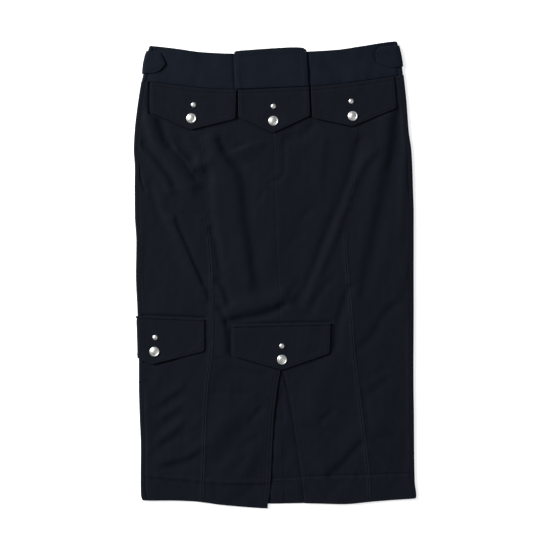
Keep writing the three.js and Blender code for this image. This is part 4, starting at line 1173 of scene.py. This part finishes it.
def make_flap(name, sides, top, corners, outline, snap, seed, sewn):
    """A flap that lies on the front. sewn says how its top edge is held: caught in the seam above it, or
    stitched down and folded over. Returns the flap and the height of its face at any point."""
    (top_left, low_left), (top_right, low_right) = sides

    def left(y):
        return np.interp(y, (low_left[1], top_left[1]), (low_left[0], top_left[0]))

    def right(y):
        return np.interp(y, (low_right[1], top_right[1]), (low_right[0], top_right[0]))

    def low(x):
        return flap_low_edge(corners, x)

    def layers(x, y):
        """The under and over heights at any point, and its distance from the flap's edge."""
        inset = inset_from(outline, x, y)
        down = np.clip((top(x) - y) / (top(x) - corners[1][1]), 0, 1)
        from_top = np.maximum(top(x) - y, 0)
        base = body_level(x, y) + flap_lift(x, down, seed)
        slope = turned(inset_from(corners[:2], x, y), SOFT_EDGE)
        edge = turned(inset, CRISP_EDGE) * (SOFT_SHARE + (1 - SOFT_SHARE) * slope)
        under, over = turned_layers(inset, 0, FLAP_THICK, FLAP_ROWS, edge=edge)
        over = over + flap_relief(x, y, inset, snap, seed)
        if sewn == "seam":
            over = over - fading(from_top, 1.3) - 0.75 * bell(from_top - SEAM_GROOVE, 1.2)
        else:
            over = folded_top(over, from_top)
        return base + under, base + np.maximum(over, under + 0.03), inset

    def face(x, y):
        return layers(x, y)[1]

    x, y = grid_between((left, right, top, low), (FLAP_STEPS, FLAP_STEPS, EDGE_STEPS, FLAP_STEPS), FLAP_STEP,
                        snap)
    under, over, inset = layers(x, y)
    piece = cloth_wall(name, np.stack([x, y, over], -1), np.stack([x, y, under], -1), np.stack([x, y], -1),
                       0.4 * bell(inset - 0.5, 1.0), panel_twill)
    return piece, face


def flap_seam(x):
    return waist_seam(x) - 0.2


def thigh_top(x):
    return np.interp(x, *np.transpose(THIGH_TOP))


flap_faces = {}
flap_outlines = {}
flap_pieces = {}
for seed, (name, (top_sides, corners)) in enumerate(WAIST_FLAPS.items(), 30):
    top_left, top_right = zip(top_sides, waist_seam(np.array(top_sides)))
    flap_outlines[name] = flap_outline(top_left, top_right, corners)
    flap_pieces[name], flap_faces[name] = make_flap(
        name, ((top_left, corners[0]), (top_right, corners[2])), flap_seam, corners, flap_outlines[name],
        SNAP_PLACES[name.removeprefix("flap_")][:2], seed * 10, "seam")
flap_outlines["flap_low_centre"] = flap_outline(*THIGH_TOP, THIGH_LOW)
flap_pieces["flap_low_centre"], flap_faces["flap_low_centre"] = make_flap(
    "flap_low_centre", ((THIGH_TOP[0], THIGH_LOW[0]), (THIGH_TOP[1], THIGH_LOW[2])), thigh_top, THIGH_LOW,
    flap_outlines["flap_low_centre"], SNAP_PLACES["low_centre"][:2], 340, "folded")

# The hip flap's edges are given along the cloth from its right end, which lies on the front, and its y.
HIP_TIP = 78.3
HIP_TIP_Y = -134.0
HIP_CORNER_Y = -114.3
HIP_TOP_Y = -65.7
HIP_SLOPE = 0.45
HIP_LAST = 120
HIP_TOP_RISE = 4.2
HIP_TOP_LENGTH = 100
HIP_SEED = 350
HIP_HEIGHT = FRONT_LEVEL
HIP_SNAP = (HIP_RIGHT - SNAP_PLACES["low_side"][0], SNAP_PLACES["low_side"][1])
HIP_FOLD_STEPS = np.arange(0, 9, 0.7)
hip_end = landing(HIP_HEIGHT, FLAP_CLEAR + FLAP_THICK)


def hip_low(along):
    """Down to the point and up again past it, with a quarter round at the right corner."""
    down = HIP_CORNER_Y + (HIP_TIP_Y - HIP_CORNER_Y) * along / HIP_TIP + corner_rise(along)
    return np.where(along > HIP_TIP, HIP_TIP_Y + (along - HIP_TIP) * HIP_SLOPE, down)


def hip_top(along):
    return HIP_TOP_Y + HIP_TOP_RISE * np.clip(along / HIP_TOP_LENGTH, 0, 1)


def hip_first(y):
    return 0 * y


def hip_turn(y):
    """How far along the flap its turn round the fold starts."""
    return HIP_RIGHT - (left_fold(y) + HIP_HEIGHT / 2)


def hip_last(y):
    return hip_turn(y) + hip_end


turn = np.append(corner_turn(), [HIP_TIP, HIP_LAST])
hip_outline = [(0, HIP_TOP_Y), *zip(turn, hip_low(turn))]


def hip_layers(along, y):
    """The hip flap's under and over heights off the fold's face, and the distance from its edge. It is lifted
    and uneven on top only, up to where it turns."""
    inset = inset_from(hip_outline, along, y)
    from_top = np.maximum(hip_top(along) - y, 0)
    on_top = 1 - smoothstep(-9, 0, along - hip_turn(y))
    under, over = turned_layers(inset, 0, FLAP_THICK, FLAP_ROWS)
    over = folded_top(over + flap_relief(along, y, inset, HIP_SNAP, HIP_SEED) * on_top, from_top)
    down = np.clip(from_top / (HIP_TOP_Y - HIP_TIP_Y), 0, 1)
    lift = FLAP_CLEAR + (flap_lift(along, down, HIP_SEED) - FLAP_CLEAR) * on_top
    return lift + under, lift + np.maximum(over, under + 0.03), inset


def hip_face(x, y):
    return HIP_HEIGHT + hip_layers(HIP_RIGHT - x, y)[1]


def hip_place(along, y, outward):
    return round_places(-1, left_fold(y), HIP_HEIGHT, along - hip_turn(y), y, outward)


along, y = grid_between((hip_first, hip_last, hip_top, hip_low),
                        (FLAP_STEPS, HIP_FOLD_STEPS, EDGE_STEPS, FLAP_STEPS), FLAP_STEP, (HIP_TIP, -100))
under, over, inset = hip_layers(along, y)
hip_flap = cloth_wall("flap_low_side", hip_place(along, y, over), hip_place(along, y, under),
                      np.stack([-along, y], -1), 0.85 * bell(inset - 0.5, 1.0), panel_twill)
flap_outlines["flap_low_side"] = hip_outline
flap_faces["flap_low_side"] = hip_face

# The snaps
# Pressed caps of pale nickel, 15 mm across, with a plain raised ring and a bare middle, and above each a
# small domed rivet. Both are clenched through the flap, which they pull in a little.
#
# A profile is a dome's radius and height in mm, from its foot to its top.
CAP_PROFILE = [(7.1, -0.7), (7.5, 0.0), (7.52, 0.5), (7.35, 1.0), (6.95, 1.45), (6.4, 1.7), (6.0, 1.72),
               (5.7, 1.55), (5.45, 1.35), (5.2, 1.3), (4.9, 1.42), (4.4, 1.66), (3.6, 1.94), (2.6, 2.18),
               (1.5, 2.32), (0.7, 2.37)]
CAP_FOOT = 7.0
RIVET_PROFILE = [(3.4, -0.6), (3.85, -0.1), (3.9, 0.3), (3.7, 0.8), (3.2, 1.25), (2.5, 1.6), (1.6, 1.85),
                 (0.8, 1.95)]
RIVET_FOOT = 3.4
SNAP_CLEAR = 0.1
SPOKES = 48

nickel = bpy.data.materials.new("nickel")
nickel.use_nodes = True
nodes, links = nickel.node_tree.nodes, nickel.node_tree.links
shader = nodes["Principled BSDF"]
shader.inputs["Base Color"].default_value = (0.66, 0.655, 0.64, 1)
shader.inputs["Metallic"].default_value = 1
place = nodes.new("ShaderNodeTexCoord")
smear = nodes.new("ShaderNodeTexNoise")
smear.inputs["Scale"].default_value = 420
smear.inputs["Detail"].default_value = 3
links.new(place.outputs["Object"], smear.inputs["Vector"])
polish = nodes.new("ShaderNodeMapRange")
polish.inputs["To Min"].default_value = 0.34
polish.inputs["To Max"].default_value = 0.5
links.new(smear.outputs[0], polish.inputs["Value"])
links.new(polish.outputs[0], shader.inputs["Roughness"])


def ring_faces(rings, spokes, low, top):
    """The faces of a row of rings: quads between them, then a fan to the low point and one to the top
    point."""
    quads = []
    for row in range(rings - 1):
        for spoke in range(spokes):
            near, far = row * spokes + spoke, row * spokes + (spoke + 1) % spokes
            quads.append((near, far, far + spokes, near + spokes))
    last = (rings - 1) * spokes
    fans = [((spoke + 1) % spokes, spoke, low) for spoke in range(spokes)]
    fans += [(last + spoke, last + (spoke + 1) % spokes, top) for spoke in range(spokes)]
    return quads, fans


def small_part(name, points, faces, material):
    """A smooth closed mesh from points in mm."""
    mesh = bpy.data.meshes.new(name)
    mesh.from_pydata((points * MM).tolist(), [], faces)
    mesh.polygons.foreach_set("use_smooth", np.ones(len(faces), bool))
    mesh.materials.append(material)
    piece = bpy.data.objects.new(name, mesh)
    bpy.context.scene.collection.objects.link(piece)
    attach(piece, "root")
    return piece


def dome(name, profile, x, y, level, tilt):
    """A turned dome: its profile, in rings of radius and height, closed by a point on top and one under
    it. It leans with the flap."""
    turn = np.linspace(0, 2 * math.pi, SPOKES, endpoint=False)
    radius, height = np.array(profile).T
    ring = np.stack([np.outer(radius, np.cos(turn)), np.outer(radius, np.sin(turn)),
                     np.outer(height, np.ones(SPOKES))], -1)
    ring[..., 2] += ring[..., 0] * tilt[0] + ring[..., 1] * tilt[1]
    points = np.concatenate([ring.reshape(-1, 3), [(0, 0, height[-1] + 0.02), (0, 0, height[0])]])
    quads, fans = ring_faces(len(profile), SPOKES, len(points) - 1, len(points) - 2)
    piece = small_part(name + "_metal", points + (x, y, level), quads + fans, nickel)
    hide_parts(name)


for name, (cap_x, cap_y, rivet_x, rivet_y) in SNAP_PLACES.items():
    face = flap_faces["flap_" + name]
    for kind, profile, x, y, foot in (("snap_cap_", CAP_PROFILE, cap_x, cap_y, CAP_FOOT),
                                      ("rivet_", RIVET_PROFILE, rivet_x, rivet_y, RIVET_FOOT)):
        level = face(x + foot * np.array([1, 0, -1, 0]), y + foot * np.array([0, 1, 0, -1]))
        right, far, left, near = level
        dome(kind + name, profile, x, y, level.mean() + SNAP_CLEAR,
             ((right - left) / (2 * foot), (far - near) / (2 * foot)))

# The zip's tape
# A concealed zip is only guessed at, since nothing of it shows. Its tape lies inside the centre back seam.
TAPE_TOP = 331
TAPE_LOW = 140
TAPE_HALF = 12
TAPE_LEVEL = 2.0
TAPE_THICK = 0.25
tape_material = plain_material("zip_tape", (0.008, 0.010, 0.014, 1), 0.8)
y = np.linspace(TAPE_TOP, TAPE_LOW, 40)[:, None]
across = np.linspace(-TAPE_HALF, TAPE_HALF, 9)[None, :]
x, y = back_seam(y) + across, y + 0 * across
coil = TAPE_THICK * bell(across, 2.2) + 0 * y
tape = cloth_wall("zip_tape", np.stack([x, y, TAPE_LEVEL + TAPE_THICK + coil], -1),
                  np.stack([x, y, TAPE_LEVEL + 0 * x], -1), np.stack([x, y], -1), 0 * x, tape_material)

# The stitching
# Every seam and edge is sewn with one lockstitch thread, a little paler than the cloth, eight stitches to
# the inch, and the lower princess seams with a paler one. Each stitch is a short bow of thread that dips
# into the cloth at both ends.
PITCH = 3.1
STITCH = 2.45
THREAD = 0.23
THREAD_SIDES = 5
THREAD_LIFT = 0.02
END_DIP = 0.2
# A stitch's rings: the place along it in stitch lengths, the thread's share of its full thickness, the
# rise.
STITCH_RINGS = ((-0.44, 0.6, -0.12), (-0.22, 0.95, 0.02), (0, 1, 0.06), (0.22, 0.95, 0.02),
                (0.44, 0.6, -0.12))
# The rows' ends in mm: y and the number of points for the princess rows, y at the foot of the slit's rows,
# x along the flaps' tops and the waistband, and the distance along the cloth for the hip flap.
UPPER_PRINCESS = (276, 62, 180)
LOWER_PRINCESS = (58, -336, 320)
SLIT_FOOT = -340
FLAP_TOP_ENDS = {"flap_waist_l": (-182, -60), "flap_waist_c": (-53, 49), "flap_waist_r": (56, 176)}
THIGH_TOP_ENDS = (-61, 81)
HIP_TOP_ENDS = (3, 98)
BAND_ENDS = ((-188, -63), (53, 178))
navy_thread = plain_material("navy_thread", (0.0068, 0.0082, 0.0115, 1), 0.7, specular=0.08)
olive_thread = plain_material("olive_thread", (0.016, 0.020, 0.021, 1), 0.6, specular=0.1)


def way_along(path):
    """How far along a path each of its points is."""
    return np.concatenate([[0], np.cumsum(np.linalg.norm(np.diff(path, axis=0), axis=1))])


def places_on(path, run, way):
    """The points of a path at given distances along it."""
    return np.stack([np.interp(way, run, path[:, k]) for k in range(path.shape[1])], -1)


def stitches_on(path):
    """Places along a path, in mm: each stitch's middle and heading."""
    run = way_along(path)
    keep = np.concatenate([[True], np.diff(run) > 1e-6])
    run, path = run[keep], path[keep]
    count = int((run[-1] - STITCH) / PITCH)
    if count < 1:
        return np.zeros((0, 3)), np.zeros((0, 3))
    middles = STITCH / 2 + PITCH * np.arange(count) + (run[-1] - PITCH * count) / 2
    heading = places_on(path, run, middles + STITCH / 2) - places_on(path, run, middles - STITCH / 2)
    at = places_on(path, run, middles) + (0, 0, THREAD_LIFT)
    return at, heading / np.linalg.norm(heading, axis=1, keepdims=True)


def sew(name, paths, material):
    """One mesh of all stitches on some paths. A stitch is five rings of thread on a bow and a point at
    each end."""
    found = [stitches_on(path) for path in paths]
    at = np.concatenate([pair[0] for pair in found])
    heading = np.concatenate([pair[1] for pair in found])
    side = np.cross((0, 0, 1), heading)
    side /= np.linalg.norm(side, axis=1, keepdims=True)
    up = np.cross(heading, side)
    turn = np.linspace(0, 2 * math.pi, THREAD_SIDES, endpoint=False)[:, None]
    rings = []
    for share, thick, rise in STITCH_RINGS:
        middle = at + heading * share * STITCH + up * rise
        spoke = side[:, None] * np.cos(turn) + up[:, None] * np.sin(turn)
        rings.append(middle[:, None] + THREAD * thick * spoke)
    ends = [at - heading * STITCH / 2 - up * END_DIP, at + heading * STITCH / 2 - up * END_DIP]
    points = np.concatenate([np.concatenate(rings, 1), np.stack(ends, 1)], 1)
    each = points.shape[1]
    quads, fans = ring_faces(len(STITCH_RINGS), THREAD_SIDES, each - 2, each - 1)
    offset = (np.arange(len(at)) * each)[:, None, None]
    quads, fans = (np.array(quads) + offset).reshape(-1, 4), (np.array(fans) + offset).reshape(-1, 3)
    small_part(name, points.reshape(-1, 3), quads.tolist() + fans.tolist(), material)


def inset_line(outline, distance):
    """The line a distance inside an outline: each corner moves along the mean of its two runs' normals."""
    points = np.asarray(outline, float)
    runs = np.diff(points, axis=0)
    runs /= np.linalg.norm(runs, axis=1, keepdims=True)
    normal = np.stack([-runs[:, 1], runs[:, 0]], -1)
    before = np.concatenate([normal[:1], normal])
    after = np.concatenate([normal, normal[-1:]])
    mean = (before + after) / (1 + (before * after).sum(1, keepdims=True))
    return points + mean * distance


def dense(line, step=1.2):
    """The same line with points about one step apart."""
    run = way_along(line)
    return places_on(line, run, np.linspace(0, run[-1], max(int(run[-1] / step), 2)))


def on_face(x, y, face):
    """A flat line laid on a face of which the height is known."""
    line = dense(np.column_stack([x, y]))
    return np.column_stack([line, face(line[:, 0], line[:, 1])])


def princess_rows(first, last, count):
    """The rows on both sides of both princess seams, between two heights."""
    y = np.linspace(first, last, count)
    return [on_face(seam_l(y) - SEAM_ROW, y, side_l_face), on_face(seam_l(y) + SEAM_ROW, y, centre_l_face),
            on_face(seam_r(y) - SEAM_ROW, y, centre_r_face), on_face(seam_r(y) + SEAM_ROW, y, side_r_face)]


slit_paths, hem_paths = [], []
y = np.linspace(SLIT_TOP - 2, SLIT_FOOT, 200)
for away in SLIT_ROWS:
    slit_paths.append(on_face(mid_l(y) - away - HALF_GAP, y, centre_l_face))
    slit_paths.append(on_face(slit_r(y) + away + HALF_GAP, y, centre_r_face))
# The hem's row is sewn on each panel from one x to another.
for face, first, last in ((side_l_face, -193.0, -110.5), (centre_l_face, -107.0, -9.0),
                          (centre_r_face, 42.0, 139.0), (side_r_face, 143.5, 200.0)):
    x = np.linspace(first, last, 60)
    hem_paths.append(on_face(x, hem_line(x), face))
sew("stitches_upper_seams", princess_rows(*UPPER_PRINCESS), navy_thread)
sew("stitches_lower_seams", princess_rows(*LOWER_PRINCESS), olive_thread)
sew("stitches_slit", slit_paths, navy_thread)
sew("stitches_hem", hem_paths, navy_thread)

flap_paths = []
for name, outline in flap_outlines.items():
    for distance in FLAP_ROWS:
        x, y = dense(inset_line(outline, distance)).T
        if name == "flap_low_side":
            keep = (x < hip_turn(y) + 3) & (y < hip_top(x) - 3)
            x, y = x[keep], y[keep]
            flap_paths.append(hip_place(x, y, hip_layers(x, y)[1]))
        else:
            keep = y < (thigh_top(x) - 3 if name == "flap_low_centre" else waist_seam(x) - 2)
            x, y = x[keep], y[keep]
            flap_paths.append(np.column_stack([x, y, flap_faces[name](x, y)]))
for name, ends in FLAP_TOP_ENDS.items():
    x = np.linspace(*ends, 120)
    flap_paths.append(on_face(x, waist_seam(x) - SEAM_TOP_ROW, flap_faces[name]))
x = np.linspace(*THIGH_TOP_ENDS, 120)
flap_paths.append(on_face(x, thigh_top(x) - FOLD_ROW, flap_faces["flap_low_centre"]))
along = np.linspace(*HIP_TOP_ENDS, 90)
y = hip_top(along) - FOLD_ROW
flap_paths.append(hip_place(along, y, hip_layers(along, y)[1]))
sew("stitches_flaps", flap_paths, navy_thread)


def band_face(x, y):
    return BAND_FACE + band_soft(x, y)


band_paths = []
for ends in BAND_ENDS:
    x = np.linspace(*ends, 120)
    band_paths.append(on_face(x, band_low(x) + BAND_ROW, band_face))
    band_paths.append(on_face(x, waist_top(x) - BAND_TOP_ROW, band_face))
sew("stitches_waistband", band_paths, navy_thread)
